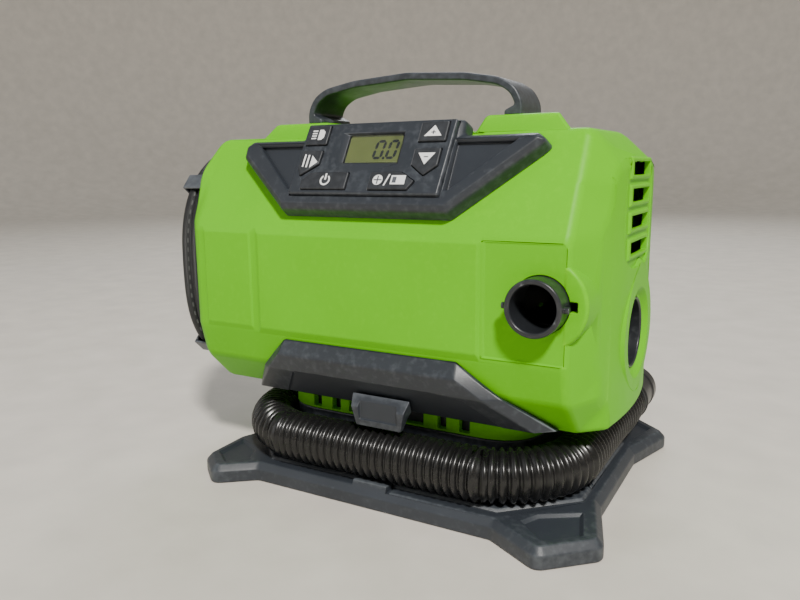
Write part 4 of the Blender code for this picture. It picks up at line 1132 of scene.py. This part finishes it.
def make_ports():
    (x, z), tip = OUTLET, 103
    profile = [
        (12.6, tip - 0.9), (13.3, tip - 0.1), (15.0, tip - 0.1), (15.6, tip - 0.8), (15.6, 80), (12.8, 79),
        (12.4, 84), (12.4, 100),
    ]
    outlet = turned("outlet_port_turned", [(r, w) for r, w in reversed(profile)], (x, z), FRONT, sides=96)
    lugs = []
    for sign in (-1, 1):
        low, high = sorted((x + sign * 14.5, x + sign * 18.3))
        lugs.append(turned("lug", oblong(0.01, low, 1.8, high), (-98, z), SIDE, sides=24))
    change(outlet, lugs, "UNION")
    complete(outlet, (0.3, 3, 35), "black_plastic", "outlet_port", finish="port_plastic")
    profile = [
        (20.6, 133.4), (21.3, 134.3), (21.9, 134.3), (22.4, 133.7), (22.4, 122), (20.6, 122),
    ]
    inlet = turned("inlet_port_turned", profile, INLET, SIDE, sides=96)
    bars = []
    for turn in range(3):
        angle = turn * math.pi / 3
        turned_plane = plane(
            (0, *INLET),
            (0, math.cos(angle), math.sin(angle)),
            (0, -math.sin(angle), math.cos(angle)),
            (1, 0, 0),
        )
        bars.append(box("bar", (-21.4, -0.9, 122.1), (21.4, 0.9, 124), turned_plane))
    bars.append(turned("ring", oblong(9, 122.2, 10.6, 124), INLET, SIDE, sides=48))
    change(inlet, bars, "UNION")
    complete(inlet, (0.25, 2, 35), "black_plastic", "inlet_port", finish="port_plastic")


# Left end


def ring_outline(half_y, half_z, count=72):
    return [power_point(-math.tau * i / count, half_y, half_z) for i in range(count)]


def make_left_end():
    spool = plate("hose_spool_moulded", ring_outline(69.7, 73.2), -169.2, -151.3, SIDE)
    rim = plate("spool_rim", ring_outline(71.5, 75), -171.6, -169, SIDE, inset=0)
    arm_x, arm_y = CHUCK_AXIS
    arm = box("chuck_arm", (arm_x - 6.7, 60, CHUCK_Z + 9), (arm_x + 6.7, arm_y + 3, CHUCK_Z + 17))
    change(spool, [rim, arm], "UNION")
    tools = [
        plate("chuck_seat", circle(5.5, CHUCK_AXIS), CHUCK_Z, CHUCK_Z + 30),
        box("gland_notch", (-161.5, -43, 193), (-140, 40, 230)),
        box("spool_hollow", (-168, -52, 88), (-140, 52, 186)),
        plate("light_hole", circle(14.3, (0, SPOOL_MID_Z)), -175, -160, SIDE),
        turned("spool_ring", [(20, -175), (20, -170.6), (48, -170.2), (48, -175)], (0, SPOOL_MID_Z), SIDE),
    ]
    change(spool, tools)
    complete(spool, (0.6, 3, 30), "dark_plastic", "hose_spool")
    profile = [(0.01, -171.2), (5, -171.9), (10, -171.6), (12.4, -171.2)]
    profile += [(12.6, -172.3), (14, -172), (14, -168.8), (0.01, -168.8)]
    light = turned("work_light_turned", profile, (0, SPOOL_MID_Z), SIDE)
    settle(light, 40)
    piece(light, "clear_lens", "work_light")
    for node in ("hose_clip_upper", "hose_clip_lower"):
        moulded(node, "dark_plastic", 0.7)
    moulded("hose_gland", "brass", 0.4)


# Back


def make_back():
    moulded("battery_dock", "black_plastic", 0.7)
    battery = box("battery_pack_moulded", (-48.9, 54, 88), (48.9, 112, 196))
    bevel(battery, 4.5, 5, 30)
    tools = []
    for sign in (-1, 1):
        inner, outer = sorted((sign * 47.3, sign * 54))
        tools.append(box("groove", (inner, 59.5, 80), (outer, 64.5, 205)))
        inner, outer = sorted((sign * 41.9, sign * 54))
        tools.append(bevel(box("grip", (inner, 103, 120), (outer, 130, 168)), 2.5, 3))
    for i in range(5):
        tools.append(bevel(box("rib_gap", (-30, 110.8, 104 + i * 7), (30, 116, 107.4 + i * 7)), 0.4, 2))
    tools.append(box("latch_pocket", (-13.4, 105, 172.6), (13.4, 130, 189.4)))
    tools.append(bevel(box("badge_field", (-24, 111.2, 146), (24, 116, 160)), 1.2, 3))
    change(battery, tools)
    complete(battery, (0.4, 2, 34), "black_plastic", "battery_pack", body="battery_pack")
    latch = box("battery_latch_moulded", (-13, 108, 173), (13, 113.2, 189))
    bevel(latch, 1.2, 3)
    grooves = [box("latch_rib", (-9, 112.5, 176.4 + i * 3.2), (9, 114, 177.6 + i * 3.2)) for i in range(4)]
    change(latch, grooves)
    complete(latch, (0.25, 2, 34), "lime_plastic", "battery_latch", body="battery_latch")
    back_plane = plane((0, 0, 0), (1, 0, 0), (0, 0, 1), (0, 1, 0))
    profile = [(0.01, 110.9), (1.5, 110.9), (1.4, 111.6), (0.01, 111.8)]
    for i, x in enumerate((-12, -4, 4, 12)):
        lamp = turned(f"charge_light_{i + 1}", profile, (x, 153), back_plane, sides=20)
        settle(lamp, 40)
        piece(lamp, "black_plastic", body="battery_pack", finish="print_white" if i < 3 else "port_plastic")
    for i in range(1, 5):
        node = f"shell_screw_{i}"
        moulded(node, "steel", 0.25)


# Inside


INSIDE = {
    "control_board": ("circuit_board", 0.15),
    "fan_housing": ("black_plastic", 0.5),
    "blower_motor": ("steel", 0.3),
    "pump_motor": ("steel", 0.3),
    "pump_frame": ("cast_alloy", 0.5),
    "cylinder": ("cast_alloy", 0.25),
    "cylinder_head": ("cast_alloy", 0.4),
    "pressure_sensor": ("black_plastic", 0.5),
    "air_tube": ("clear_tube", 0.2),
}
INSIDE_MOVING = {
    "impeller": ("pale_plastic", 0.2),
    "pinion": ("steel", 0.1),
    "crank_gear": ("gear_plastic", 0.12),
    "connecting_rod": ("cast_alloy", 0.4),
    "piston": ("cast_alloy", 0.3),
}


def make_inside():
    for node, (slot, width) in INSIDE.items():
        moulded(node, slot, width, angle=35)
    for node, (slot, width) in INSIDE_MOVING.items():
        moulded(node, slot, width, body=node, angle=35)


make_base()
make_neck()
make_case()
make_skirt("front_trim_moulded", "front_trim", False)
make_skirt("rear_trim_moulded", "rear_trim", True)
make_tab()
make_console()
make_handle()
make_ports()
make_left_end()
make_back()
make_inside()
drop_tools()

bpy.context.view_layer.update()
